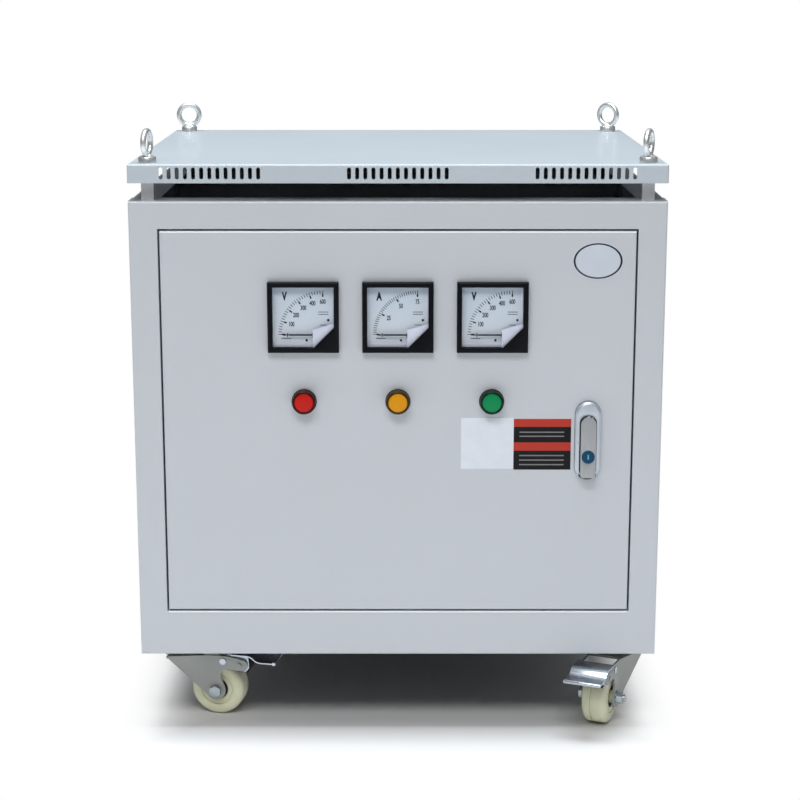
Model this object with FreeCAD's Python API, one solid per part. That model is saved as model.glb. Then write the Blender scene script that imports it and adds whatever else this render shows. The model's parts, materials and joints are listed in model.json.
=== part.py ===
import FreeCAD, Part
import math
import os

# A three-phase dry-type power transformer in a ventilated sheet-metal cabinet on casters.
# The origin is on the floor under the middle of the whole object. +Z is up and the door faces -Y.
# All sizes are in millimetres and all angles in degrees.

# Cabinet shell
WIDTH = 600.0
DEPTH = 480.0
BODY_HEIGHT = 530.0
FLOOR_TO_LIP = 93.0
FRAME_SHIFT = 22.895
SHEET = 1.5
BEND = 2.5
SIDE_STRIP = 32.0
TOP_STRIP = 31.0
BOTTOM_STRIP = 53.0
OPENING_FOLD = 20.0
SIDE_RETURN = 30.0
TOP_FLANGE = 37.0
SIDE_FLANGE = 32.0
BOTTOM_FLANGE = 25.0
SIDE_BOTTOM_FLANGE = 15.0
LAP = 15.0
LAP_FLANGE = 22.0

# Lid
LID_GAP = 20.0
LID_RIM = 21.0
SLOT_WIDTH = 4.4
SLOT_HEIGHT = 13.0
SLOT_PITCH = 9.0
SLOTS_PER_GROUP = 13
SLOT_GROUP_PITCH = 208.5
SLOT_LIFT = 10.9
POST = 14.0
POST_INSET_X = 20.5
POST_INSET_Y = 22.0
POST_BORE_DEPTH = 24.0

# Eye bolts
EYE_THREAD = 8.0
EYE_COLLAR = 20.0
EYE_COLLAR_HEIGHT = 7.0
EYE_NECK = 10.0
EYE_HOLE = 20.0
EYE_SECTION = 6.5
EYE_RING_LIFT = 21.5
EYE_SHANK = 20.0
EYE_TURNS = {"front_left": 80.0, "front_right": 69.0, "rear_left": 4.0, "rear_right": -38.0}

# Door
DOOR_GAP = 2.0
DOOR_SHEET = 1.5
DOOR_FOLD = 18.0
HINGE_INSET = 12.0
HINGE_DEPTH = 6.5
HINGE_PIN = 6.0
HINGE_HEAD = 10.0
HINGE_HEAD_HEIGHT = 2.0
HINGE_PIN_REACH = 12.0

# Panel meters
METER = 80.0
METER_PITCH = 106.3
METER_DROP = 130.0
METER_PROUD = 8.0
METER_BORDER = 5.5
METER_CHAMFER = 1.2
METER_BODY = 72.0
METER_BODY_DEPTH = 42.0
METER_WALL = 2.5
METER_CORNER = 23.0
DIAL_SHEET = 1.0
DIAL_HOLE = 4.0
WINDOW_SHEET = 1.2
POINTER_RIGHT = 22.0
POINTER_DOWN = 20.0
POINTER_LENGTH = 46.0
POINTER_ROOT = 1.8
POINTER_TIP = 1.0
POINTER_SHEET = 0.8
POINTER_PROUD = 3.5
POINTER_SPINDLE = 3.0
BEARING_POST = 9.0
BEARING_FLOOR = 6.0

# Pilot lamps
LAMP_DROP = 97.0
LAMP_RING = 28.5
LAMP_RING_PROUD = 2.5
LAMP_LENS = 27.0
LAMP_PROUD = 11.5
LAMP_BEVEL = 1.5
LAMP_BODY = 22.0
LAMP_BODY_DEPTH = 38.0
LAMP_NUT = 29.0
LAMP_NUT_THICK = 5.0

# Lock
LOCK_INSET = 50.0
LOCK_DROP = 18.3
LOCK_LENGTH = 90.6
LOCK_WIDTH = 29.0
LOCK_PROUD = 7.0
LOCK_EDGE = 2.5
LEVER_WIDTH = 17.4
LEVER_LENGTH = 71.0
LEVER_RISE = 29.3
LEVER_THICK = 5.0
LEVER_LIFT = 0.4
LEVER_FRONT_SKIN = 0.8
MOAT_WIDTH = 1.0
MOAT_DEPTH = 3.5
SPINDLE = 12.0
SPINDLE_DISC = 16.0
SPINDLE_DISC_DEPTH = 3.0
SPINDLE_END = 8.0
SPINDLE_HEAD = 12.0
SPINDLE_HEAD_THICK = 1.5
LOCK_PIN = 2.4
LOCK_PIN_DEPTH = 2.2
LUG_WIDTH = 4.0
LUG_EYE = 3.8
KEY_BARREL = 14.8
KEY_DROP = 17.0
KEY_PROUD = 0.7
KEY_DEPTH = 3.5
KEYWAY_WIDTH = 1.6
KEYWAY_LENGTH = 6.0
KEYWAY_DEPTH = 2.0
CAM_LENGTH = 58.0
CAM_WIDTH = 16.0
CAM_THICK = 3.0
CAM_GAP = 1.2

# Casters
CASTER_SIDE_INSET = 41.0
CASTER_INSET = 70.8
CASTER_TURNS = {"front_left": -11.8, "front_right": -113.4, "rear_left": 35.0, "rear_right": 140.0}
WHEEL = 64.0
WHEEL_WIDTH = 29.0
WHEEL_SHOULDER = 5.0
WHEEL_RECESS = 26.0
WHEEL_RECESS_DEPTH = 5.5
HUB = 15.0
TRAIL = 46.0
AXLE = 8.0
HEX_WIDTH = 13.0
AXLE_HEAD = 5.0
AXLE_NUT = 6.5
AXLE_WASHER = 16.0
AXLE_WASHER_THICK = 1.5
AXLE_STUD = 2.5

# Caster forks
FORK_INSIDE = 35.4
FORK_SHEET = 2.5
FORK_END = 11.7
CHEEK_BEND = 38.0
CHEEK_SPLAY = 18.0
CHEEK_BACK = 10.0
CHEEK_TOP = 61.0
HORN_OUT = 78.5
HORN_UP = 65.5
HORN_END = 7.0
THROAT = ((16.0, 28.0), (8.0, 24.0), (6.5, 18.0), (9.0, 10.0))
STOP_RIVET_OUT = 75.5
STOP_RIVET_UP = 65.2
STOP_RIVET = 6.8
STOP_RIVET_PROUD = 1.5
CROWN = 50.0
CROWN_FRONT = 30.0
CROWN_THICK = 3.0
RACE_HEIGHT = 15.2
KINGPIN = 12.0
KINGPIN_HEAD = 20.0
KINGPIN_HEAD_HEIGHT = 4.0
PLATE_LENGTH = 72.0
PLATE_WIDTH = 50.0
PLATE_THICK = 3.0
PLATE_BOLT_X = 36.0
PLATE_BOLT_Y = 56.0

# Caster brakes
PEDAL_PIVOT_OUT = 55.6
PEDAL_PIVOT_UP = 69.4
PEDAL_SHEET = 1.6
PEDAL_RIVET = 6.0
PEDAL_RIVET_HEAD = 8.0
PEDAL_RIVET_PROUD = 1.2
TREAD_WIDTH = 44.4
TREAD_TOP = 79.2
TREAD_START = 66.0
TREAD_STEP_START = 85.0
TREAD_STEP_END = 103.0
TREAD_STEP_DROP = 7.4
TREAD_END = 118.5
TREAD_LIP = 4.4
PAD_WIDTH = 28.0
PAD_LENGTH = 11.0
PAD_HEIGHT = 11.0
PAD_BAR = 6.0
PAD_BAR_OUT = 79.0
PAD_BAR_UP = 61.0
EAR_REACH = 7.0
EAR_AT_PIVOT = ((-6.0, -4.4), (-6.0, 3.6), (0.0, 6.0))
EAR_AT_BAR = ((8.0, 1.0), (4.0, -4.0), (-7.0, -3.0))

# Base beams, rubber pads and clamps
BEAM_WIDTH = 50.0
BEAM_HEIGHT = 30.0
BEAM_WALL = 2.5
CLAMP_WIDTH = 30.0
CLAMP_HEIGHT = 60.0
CLAMP_WALL = 4.0
CLAMP_SIDE_GAP = 24.5
ISOLATOR_HEIGHT = 8.0
ISOLATOR_LENGTH = 30.0
CLAMP_BOLT = 10.0
CLAMP_BOLT_HEAD = 16.0
CLAMP_BOLT_HEAD_HEIGHT = 6.4

# Core and windings
STACK = 100.0
CORE_TOP_SPACE = 80.5
CORE_LIFT = 10.0
COIL_SIDE_GAP = 11.5
PHASE_GAP = 11.0
INNER_BUILD = 14.0
OUTER_BUILD = 22.0
DUCT = 8.0
LIMB_GAP = 3.0
WINDING_END_GAP = 8.0
WINDING_CORNER = 16.0
STICKS_PER_SIDE = 3
STICK_WIDTH = 10.0

# Terminals
BOARD_OVERHANG = 30.0
BOARD_DEPTH = 90.0
BOARD_THICK = 12.0
BOARD_LIFT = 12.0
BUSBAR_WIDTH = 16.0
BUSBAR_THICK = 3.0

# Rear panel
REAR_SCREW_HEAD = 8.0
REAR_SCREW_PROUD = 3.0
REAR_SCREW_ROWS = 4

# Clearances
RUNNING = 0.06
SLACK = 0.3
HOLE_SLACK = 0.5

# Worked-out places
HALF_WIDTH = WIDTH / 2
FRONT = FRAME_SHIFT - DEPTH / 2
BACK = FRONT + DEPTH
MIDDLE = (FRONT + BACK) / 2
LIP = FLOOR_TO_LIP
TOP = LIP + BODY_HEIGHT
OPENING_HALF = HALF_WIDTH - SIDE_STRIP
OPENING_LOW = LIP + BOTTOM_STRIP
OPENING_HIGH = TOP - TOP_STRIP
LID_LOW = TOP + LID_GAP
LID_HIGH = LID_LOW + LID_RIM
DOOR_HALF = OPENING_HALF - DOOR_GAP
DOOR_LOW = OPENING_LOW + DOOR_GAP
DOOR_HIGH = OPENING_HIGH - DOOR_GAP
HINGE_X = HINGE_INSET - DOOR_HALF
HINGE_Y = FRONT + HINGE_DEPTH
POST_X = HALF_WIDTH - POST_INSET_X
CASTER_X = HALF_WIDTH - CASTER_SIDE_INSET
BEAM_TOP = LIP + SHEET + BEAM_HEIGHT
CLAMP_LOW = BEAM_TOP + ISOLATOR_HEIGHT
CLAMP_LENGTH = WIDTH - 2 * SHEET - 2 * CLAMP_SIDE_GAP
COIL_WIDTH = (WIDTH - 2 * SHEET - 2 * COIL_SIDE_GAP - 2 * PHASE_GAP) / 3
LIMB_WIDTH = COIL_WIDTH - 2 * (LIMB_GAP + INNER_BUILD + DUCT + OUTER_BUILD)
LIMB_PITCH = COIL_WIDTH + PHASE_GAP
WINDOW = LIMB_PITCH - LIMB_WIDTH
CORE_LENGTH = 2 * LIMB_PITCH + LIMB_WIDTH
CORE_LOW = CLAMP_LOW + CORE_LIFT
CORE_HIGH = TOP - CORE_TOP_SPACE
COIL_LOW = CORE_LOW + LIMB_WIDTH + WINDING_END_GAP
COIL_HIGH = CORE_HIGH - LIMB_WIDTH - WINDING_END_GAP
BOARD_LENGTH = 2 * (LIMB_PITCH + BOARD_OVERHANG)
METER_CENTRES = (-METER_PITCH, 0.0, METER_PITCH)
METER_Z = TOP - METER_DROP
METER_CLEAR = METER / 2 - METER_BORDER
LAMP_Z = METER_Z - LAMP_DROP
LOCK_X = DOOR_HALF - LOCK_INSET
LOCK_Z = (DOOR_LOW + DOOR_HIGH) / 2 - LOCK_DROP
LEVER_HIGH = LOCK_Z + LEVER_RISE
LEVER_LOW = LEVER_HIGH - LEVER_LENGTH
KEY_Z = LOCK_Z - KEY_DROP
AXLE_UP = WHEEL / 2
FORK_HALF = FORK_INSIDE / 2 + FORK_SHEET
CORNERS = {"front_left": (-1, -1), "front_right": (1, -1), "rear_left": (-1, 1), "rear_right": (1, 1)}

X_AXIS = FreeCAD.Vector(1, 0, 0)
Y_AXIS = FreeCAD.Vector(0, 1, 0)
Z_AXIS = FreeCAD.Vector(0, 0, 1)


def point(x, y, z):
    return FreeCAD.Vector(x, y, z)


def box(x_low, x_high, y_low, y_high, z_low, z_high):
    return Part.makeBox(x_high - x_low, y_high - y_low, z_high - z_low, point(x_low, y_low, z_low))


def rod(diameter, start, direction, length):
    return Part.makeCylinder(diameter / 2, length, start, direction)


def prism(corners, direction, length):
    """Extrudes the closed outline through these corners."""
    outline = Part.makePolygon(list(corners) + [corners[0]])
    return Part.Face(outline).extrude(direction * length)


def turned(profile, centre, axis):
    """Revolves a profile of (radius, distance along the axis) pairs. The axis is Y or Z."""
    if axis == Y_AXIS:
        corners = [centre + point(radius, along, 0) for radius, along in profile]
    else:
        corners = [centre + point(radius, 0, along) for radius, along in profile]
    return Part.Face(Part.makePolygon(corners + [corners[0]])).revolve(centre, axis, 360)


def hexagon(width, start, direction, length):
    """A hexagonal prism, such as a nut, with this width across its flats."""
    radius = width / math.sqrt(3)
    side = X_AXIS if abs(direction.x) < 0.5 else Z_AXIS
    other = direction.cross(side)
    corners = []
    for step in range(6):
        angle = math.radians(60 * step + 30)
        corners.append(start + side * (radius * math.cos(angle)) + other * (radius * math.sin(angle)))
    return prism(corners, direction, length)


def joined(shapes):
    """One clean solid from touching or overlapping shapes."""
    return shapes[0].fuse(shapes[1:]).removeSplitter()


def is_on(edge, axis, value):
    low, high = getattr(edge.BoundBox, axis + "Min"), getattr(edge.BoundBox, axis + "Max")
    return abs(low - value) < 0.001 and abs(high - value) < 0.001


def pan(limits, open_side, sheet, bend, round_corners=False):
    """A folded tray: a box with one open side, its outer folds rounded.

    limits is (x_low, x_high, y_low, y_high, z_low, z_high), and open_side names the open face.
    """
    outer = box(*limits)
    inner_limits = list(limits)
    for index in range(6):
        inner_limits[index] += sheet if index % 2 == 0 else -sheet
    axis = open_side[1]
    open_index = 2 * "XYZ".index(axis) + (1 if open_side[0] == "+" else 0)
    closed_index = open_index ^ 1
    inner_limits[open_index] = limits[open_index] + (sheet if open_side[0] == "+" else -sheet)
    folds = []
    for edge in outer.Edges:
        on_open = is_on(edge, axis, limits[open_index])
        on_closed = is_on(edge, axis, limits[closed_index])
        if on_closed or (round_corners and not on_open):
            folds.append(edge)
    return outer.makeFillet(bend, folds).cut(box(*inner_limits))


def slot_cutter(x, z, width, height, y_low, y_high):
    """A vertical slot with chamfered ends, cut along Y."""
    half, corner = width / 2, width * 0.29
    low, high = z - height / 2, z + height / 2
    corners = [(-half, low + corner), (-half + corner, low), (half - corner, low), (half, low + corner),
               (half, high - corner), (half - corner, high), (-half + corner, high), (-half, high - corner)]
    return prism([point(x + dx, y_low, cz) for dx, cz in corners], Y_AXIS, y_high - y_low)


def rounded_rectangle(x, y, half_x, half_y, radius, z_low, height):
    """A block with vertical rounded corners."""
    block = box(x - half_x, x + half_x, y - half_y, y + half_y, z_low, z_low + height)
    uprights = [edge for edge in block.Edges if edge.BoundBox.ZLength > height / 2]
    return block.makeFillet(radius, uprights)


def upright_oblong(x, z_low, z_high, width, y_low, depth):
    """A plate in the door's plane with two round ends, one above the other."""
    radius = width / 2
    middle = box(x - radius, x + radius, y_low, y_low + depth, z_low + radius, z_high - radius)
    ends = [rod(width, point(x, y_low, z), Y_AXIS, depth) for z in (z_low + radius, z_high - radius)]
    return joined([middle] + ends)


# Cabinet shell

def front_frame():
    """The folded front: a face with the door's opening, turned in all round and flanged at the top."""
    shell = pan((-HALF_WIDTH, HALF_WIDTH, FRONT, FRONT + TOP_FLANGE, LIP, TOP), "+Y", SHEET, BEND)
    beyond = FRONT + TOP_FLANGE + 1
    left, right = -HALF_WIDTH - 1, HALF_WIDTH + 1
    shell = shell.cut(box(left, right, FRONT + SIDE_RETURN, beyond, LIP - 1, TOP - SHEET))
    shell = shell.cut(box(left, right, FRONT + BOTTOM_FLANGE, beyond, LIP - 1, LIP + SHEET))
    folds = box(-OPENING_HALF - SHEET, OPENING_HALF + SHEET, FRONT, FRONT + OPENING_FOLD,
                OPENING_LOW - SHEET, OPENING_HIGH + SHEET)
    opening = box(-OPENING_HALF, OPENING_HALF, FRONT - 1, FRONT + OPENING_FOLD + 1, OPENING_LOW, OPENING_HIGH)
    frame = joined([shell, folds]).cut(opening)
    rims = [edge for edge in frame.Edges
            if is_on(edge, "Y", FRONT) and edge.BoundBox.XMax < OPENING_HALF + 1
            and edge.BoundBox.XMin > -OPENING_HALF - 1 and edge.BoundBox.ZMin > OPENING_LOW - 1
            and edge.BoundBox.ZMax < OPENING_HIGH + 1]
    frame = frame.makeFillet(SHEET * 0.8, rims)
    pins = [rod(HINGE_PIN, point(HINGE_X, HINGE_Y, z), Z_AXIS, 2 * SHEET + 2)
            for z in (OPENING_LOW - SHEET - 1, OPENING_HIGH - 1)]
    return frame.cut(pins)


def side_wall(side):
    """One side: a sheet turned in at the top and bottom, with a lapped strip and a flange at the back."""
    outside, inside = side * HALF_WIDTH, side * (HALF_WIDTH - SHEET)
    low_y, high_y = FRONT + SIDE_RETURN, BACK - SIDE_RETURN
    flange_end = side * (HALF_WIDTH - SIDE_FLANGE)
    block = box(min(outside, flange_end), max(outside, flange_end), low_y, high_y, LIP, TOP)
    folds = [edge for edge in block.Edges
             if is_on(edge, "X", outside) and (is_on(edge, "Z", LIP) or is_on(edge, "Z", TOP))]
    block = block.makeFillet(BEND, folds)
    hollow = box(min(inside, 0), max(inside, 0), low_y - 1, high_y + 1, LIP + SHEET, TOP - SHEET)
    shell = block.cut(hollow)
    flange_edge = HALF_WIDTH - SIDE_BOTTOM_FLANGE
    shell = shell.cut(box(min(0, side * flange_edge), max(0, side * flange_edge), low_y - 1, high_y + 1,
                          LIP - 1, LIP + SHEET + 1))
    top_cuts = [box(-HALF_WIDTH - 1, HALF_WIDTH + 1, low_y - 1, FRONT + TOP_FLANGE, TOP - SHEET, TOP + 1),
                box(-HALF_WIDTH - 1, HALF_WIDTH + 1, BACK - TOP_FLANGE, high_y + 1, TOP - SHEET, TOP + 1)]
    shell = shell.cut(top_cuts)
    strip_out, strip_in = inside, side * (HALF_WIDTH - 2 * SHEET)
    strip_low, strip_high = LIP + 2 * SHEET, TOP - 2 * SHEET
    strip = box(min(strip_out, strip_in), max(strip_out, strip_in), high_y - LAP, BACK - SHEET,
                strip_low, strip_high)
    front_strip = box(min(strip_out, strip_in), max(strip_out, strip_in), FRONT + LAP, low_y + LAP,
                      strip_low, strip_high)
    flange_in = side * (HALF_WIDTH - SHEET - LAP_FLANGE)
    flange = box(min(strip_out, flange_in), max(strip_out, flange_in), BACK - 2 * SHEET, BACK - SHEET,
                 strip_low, strip_high)
    return joined([shell, strip, front_strip, flange])


def rear_screw_places():
    reach = HALF_WIDTH - SHEET - LAP_FLANGE / 2
    step = (BODY_HEIGHT - 2 * TOP_FLANGE) / (REAR_SCREW_ROWS - 1)
    heights = [LIP + TOP_FLANGE + step * row for row in range(REAR_SCREW_ROWS)]
    return [(side * reach, height) for side in (-1, 1) for height in heights]


def rear_panel():
    """The removable back, folded like the front, with its hexagon-head screws."""
    shell = pan((-HALF_WIDTH, HALF_WIDTH, BACK - TOP_FLANGE, BACK, LIP, TOP), "-Y", SHEET, BEND)
    before = BACK - TOP_FLANGE - 1
    left, right = -HALF_WIDTH - 1, HALF_WIDTH + 1
    shell = shell.cut(box(left, right, before, BACK - SIDE_RETURN, LIP - 1, TOP - SHEET))
    shell = shell.cut(box(left, right, before, BACK - BOTTOM_FLANGE, LIP - 1, LIP + SHEET))
    heads = [hexagon(REAR_SCREW_HEAD, point(x, BACK, z), Y_AXIS, REAR_SCREW_PROUD)
             for x, z in rear_screw_places()]
    return joined([shell] + heads)


def base_beams():
    """Two closed beams from front to back, which carry the casters and the core."""
    beams = []
    for side in (-1, 1):
        x_low, x_high = side * CASTER_X - BEAM_WIDTH / 2, side * CASTER_X + BEAM_WIDTH / 2
        z_low, z_high = LIP + SHEET, BEAM_TOP
        y_low, y_high = FRONT + SHEET, BACK - 2 * SHEET
        beam = box(x_low, x_high, y_low, y_high, z_low, z_high)
        beams.append(beam.cut(box(x_low + BEAM_WALL, x_high - BEAM_WALL, y_low - 1, y_high + 1,
                                  z_low + BEAM_WALL, z_high - BEAM_WALL)))
    return beams


# Lid, its posts and the lifting eyes

def post_places():
    reach_y = DEPTH / 2 - POST_INSET_Y
    return {name: (sx * POST_X, MIDDLE + sy * reach_y) for name, (sx, sy) in CORNERS.items()}


def lid_posts():
    """Four square posts on the shell's top flange, tapped for the eye bolts."""
    posts = []
    for x, y in post_places().values():
        post = box(x - POST / 2, x + POST / 2, y - POST / 2, y + POST / 2, TOP, LID_HIGH - SHEET)
        posts.append(post.cut(rod(EYE_THREAD, point(x, y, LID_HIGH - SHEET - POST_BORE_DEPTH), Z_AXIS,
                                  POST_BORE_DEPTH + 1)))
    return posts


def lid():
    """A folded tray with three groups of slots in its front rim."""
    tray = pan((-HALF_WIDTH, HALF_WIDTH, FRONT, BACK, LID_LOW, LID_HIGH), "-Z", SHEET, BEND, True)
    cutters = [rod(EYE_THREAD + 2 * HOLE_SLACK, point(x, y, LID_HIGH - 2 * SHEET), Z_AXIS, 3 * SHEET)
               for x, y in post_places().values()]
    for group in (-1, 0, 1):
        for slot in range(SLOTS_PER_GROUP):
            x = group * SLOT_GROUP_PITCH + (slot - (SLOTS_PER_GROUP - 1) / 2) * SLOT_PITCH
            cutters.append(slot_cutter(x, LID_LOW + SLOT_LIFT, SLOT_WIDTH, SLOT_HEIGHT,
                                       FRONT - SHEET, FRONT + 2 * SHEET))
    return tray.cut(cutters)


def eye_bolts():
    """Forged lifting eyes: a ring on a collar, with a shank down into the post."""
    bolts = []
    section, flat = EYE_SECTION / 2, EYE_SECTION * 0.21
    middle = EYE_HOLE / 2 + section
    profile = [(middle - section, -flat), (middle - flat, -section), (middle + flat, -section),
               (middle + section, -flat), (middle + section, flat), (middle + flat, section),
               (middle - flat, section), (middle - section, flat)]
    for name, (x, y) in post_places().items():
        foot = point(x, y, LID_HIGH)
        ring = turned(profile, foot + Z_AXIS * EYE_RING_LIFT, Y_AXIS)
        collar = rod(EYE_COLLAR, foot, Z_AXIS, EYE_COLLAR_HEIGHT)
        neck = rod(EYE_NECK, foot, Z_AXIS, EYE_RING_LIFT - EYE_HOLE / 2 - EYE_SECTION / 2)
        shank = rod(EYE_THREAD, foot - Z_AXIS * EYE_SHANK, Z_AXIS, EYE_SHANK)
        bolt = joined([collar, neck, shank, ring])
        bolt.rotate(foot, Z_AXIS, EYE_TURNS[name])
        bolts.append(bolt)
    return bolts


# Door

def door_panel():
    """A folded pan with cut-outs for the meters, lamps and lock, and a pin hole at its top and bottom."""
    limits = (-DOOR_HALF, DOOR_HALF, FRONT, FRONT + DOOR_FOLD, DOOR_LOW, DOOR_HIGH)
    panel = pan(limits, "+Y", DOOR_SHEET, DOOR_SHEET)
    before, through = FRONT - 1, DOOR_SHEET + 2
    cutters = []
    half_cutout = METER_BODY / 2 + HOLE_SLACK
    for x in METER_CENTRES:
        cutters.append(box(x - half_cutout, x + half_cutout, before, before + through,
                           METER_Z - half_cutout, METER_Z + half_cutout))
        cutters.append(rod(LAMP_BODY + 2 * HOLE_SLACK, point(x, before, LAMP_Z), Y_AXIS, through))
    cutters.append(rod(SPINDLE + 2 * HOLE_SLACK, point(LOCK_X, before, spindle_height()), Y_AXIS, through))
    for z in (DOOR_LOW - 1, DOOR_HIGH - DOOR_SHEET - 1):
        cutters.append(rod(HINGE_PIN + 2 * RUNNING, point(HINGE_X, HINGE_Y, z), Z_AXIS, DOOR_SHEET + 2))
    return panel.cut(cutters)


def hinge_pins():
    """Headed pins through the folds of the opening and of the door, one below and one above."""
    pins = []
    for head_at, direction in ((OPENING_LOW - SHEET, Z_AXIS), (OPENING_HIGH + SHEET, Z_AXIS * -1)):
        seat = point(HINGE_X, HINGE_Y, head_at)
        head = rod(HINGE_HEAD, seat - direction * HINGE_HEAD_HEIGHT, direction, HINGE_HEAD_HEIGHT)
        pins.append(joined([head, rod(HINGE_PIN, seat, direction, HINGE_PIN_REACH)]))
    return pins


# Panel meters

def meter_pane(x, y, thick):
    """A flat square that fills the meter's window, less the corner that the case covers."""
    near, cut = METER_CLEAR, METER_CLEAR - METER_CORNER
    corners = [(-near, -near), (cut, -near), (near, -cut), (near, near), (-near, near)]
    return prism([point(x + dx, y, METER_Z + dz) for dx, dz in corners], Y_AXIS, thick)


def meter_pivot(x):
    return point(x + POINTER_RIGHT, 0, METER_Z - POINTER_DOWN)


def bearing_reach():
    """How far the movement's bore goes back from the post's front."""
    return METER_BODY_DEPTH - METER_WALL - DIAL_SHEET - BEARING_FLOOR


def meter_case(x):
    """The moulded case: a square bezel with a corner cover, a body behind it and the movement's post."""
    z, half, body = METER_Z, METER / 2, METER_BODY / 2
    face, rear, seat = FRONT - METER_PROUD, FRONT + METER_BODY_DEPTH, FRONT + DIAL_SHEET
    bezel = box(x - half, x + half, face, FRONT, z - half, z + half)
    bezel = bezel.makeChamfer(METER_CHAMFER, [edge for edge in bezel.Edges if is_on(edge, "Y", face)])
    back = box(x - body, x + body, FRONT, rear, z - body, z + body)
    well = box(x - METER_CLEAR, x + METER_CLEAR, face - 1, seat, z - METER_CLEAR, z + METER_CLEAR)
    narrow = METER_CLEAR - METER_WALL
    inside = box(x - narrow, x + narrow, seat - 1, rear - METER_WALL, z - narrow, z + narrow)
    case = joined([bezel, back]).cut([well, inside])
    post_start = meter_pivot(x) + Y_AXIS * (seat + SLACK)
    post = rod(BEARING_POST, post_start, Y_AXIS, rear - METER_WALL - post_start.y)
    bore = rod(POINTER_SPINDLE + 2 * RUNNING, post_start, Y_AXIS, bearing_reach())
    low = METER_CLEAR - METER_CORNER
    cover = prism([point(x + METER_CLEAR, face, z - METER_CLEAR), point(x + low, face, z - METER_CLEAR),
                   point(x + METER_CLEAR, face, z - low)], Y_AXIS, WINDOW_SHEET)
    return joined([case, post, cover]).cut(bore)


def meter_dials():
    """White scale plates on the ledges inside the cases, each with a hole for the pointer's spindle."""
    plates = []
    for x in METER_CENTRES:
        hole = rod(DIAL_HOLE, meter_pivot(x) + Y_AXIS * (FRONT - 1), Y_AXIS, DIAL_SHEET + 2)
        plates.append(meter_pane(x, FRONT, DIAL_SHEET).cut(hole))
    return plates


def meter_windows():
    """Clear fronts, each with one corner taken by the case's cover."""
    return [meter_pane(x, FRONT - METER_PROUD, WINDOW_SHEET) for x in METER_CENTRES]


def meter_pointer(x):
    """A tapered needle on its spindle, lying at the left end of the scale."""
    pivot, y = meter_pivot(x), FRONT - POINTER_PROUD
    root, tip = POINTER_ROOT / 2, POINTER_TIP / 2
    corners = [(0, -root), (0, root), (-POINTER_LENGTH, tip), (-POINTER_LENGTH, -tip)]
    needle = prism([pivot + point(dx, y, dz) for dx, dz in corners], Y_AXIS, POINTER_SHEET)
    spindle = rod(POINTER_SPINDLE, pivot + Y_AXIS * y, Y_AXIS, POINTER_PROUD + DIAL_SHEET + bearing_reach())
    return joined([needle, spindle])


# Pilot lamps

def lamp_cap(x):
    """A coloured cap: a thin flange on the door with the bevelled lens in front."""
    centre = point(x, FRONT, LAMP_Z)
    ring, lens = LAMP_RING / 2, LAMP_LENS / 2
    profile = [(0, 0), (ring, 0), (ring, -LAMP_RING_PROUD), (lens, -LAMP_RING_PROUD),
               (lens, LAMP_BEVEL - LAMP_PROUD), (lens - LAMP_BEVEL, -LAMP_PROUD), (0, -LAMP_PROUD)]
    return turned(profile, centre, Y_AXIS)


def lamp_bodies():
    """Black bodies behind the door, each drawn up by its ring nut."""
    bodies = []
    for x in METER_CENTRES:
        start = point(x, FRONT, LAMP_Z)
        body = rod(LAMP_BODY, start, Y_AXIS, LAMP_BODY_DEPTH)
        nut = hexagon(LAMP_NUT, start + Y_AXIS * DOOR_SHEET, Y_AXIS, LAMP_NUT_THICK)
        bodies.append(joined([body, nut]))
    return bodies


# Lock

def spindle_height():
    return LEVER_HIGH - LEVER_WIDTH / 2


def lock_face():
    return FRONT - LOCK_PROUD


def lever_back():
    return lock_face() - LEVER_LIFT


def lever_axis():
    """The lever's lifting axis runs along X through the pin."""
    return point(LOCK_X, lever_back() - LOCK_PIN_DEPTH, LEVER_HIGH - LOCK_PIN_DEPTH)


def lock_housing():
    """The oblong die-cast housing, with a groove round the lever and a seat for the turntable."""
    face = lock_face()
    low, high = LOCK_Z - LOCK_LENGTH / 2, LOCK_Z + LOCK_LENGTH / 2
    housing = upright_oblong(LOCK_X, low, high, LOCK_WIDTH, face, LOCK_PROUD)
    rim = [edge for edge in housing.Edges if is_on(edge, "Y", face)]
    housing = housing.makeChamfer(LOCK_EDGE, rim)
    groove = upright_oblong(LOCK_X, LEVER_LOW - MOAT_WIDTH, LEVER_HIGH + MOAT_WIDTH,
                            LEVER_WIDTH + 2 * MOAT_WIDTH, face - 1, MOAT_DEPTH + 1)
    island = upright_oblong(LOCK_X, LEVER_LOW, LEVER_HIGH, LEVER_WIDTH, face - 1, MOAT_DEPTH + 1)
    centre = point(LOCK_X, face - 1, spindle_height())
    seat = rod(SPINDLE_DISC + 2 * RUNNING, centre, Y_AXIS, 1 + SPINDLE_DISC_DEPTH)
    bore = rod(SPINDLE + 2 * RUNNING, centre, Y_AXIS, LOCK_PROUD + 2)
    return housing.cut(groove.cut(island)).cut([seat, bore])


def cam_front():
    return FRONT + OPENING_FOLD + CAM_GAP


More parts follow.
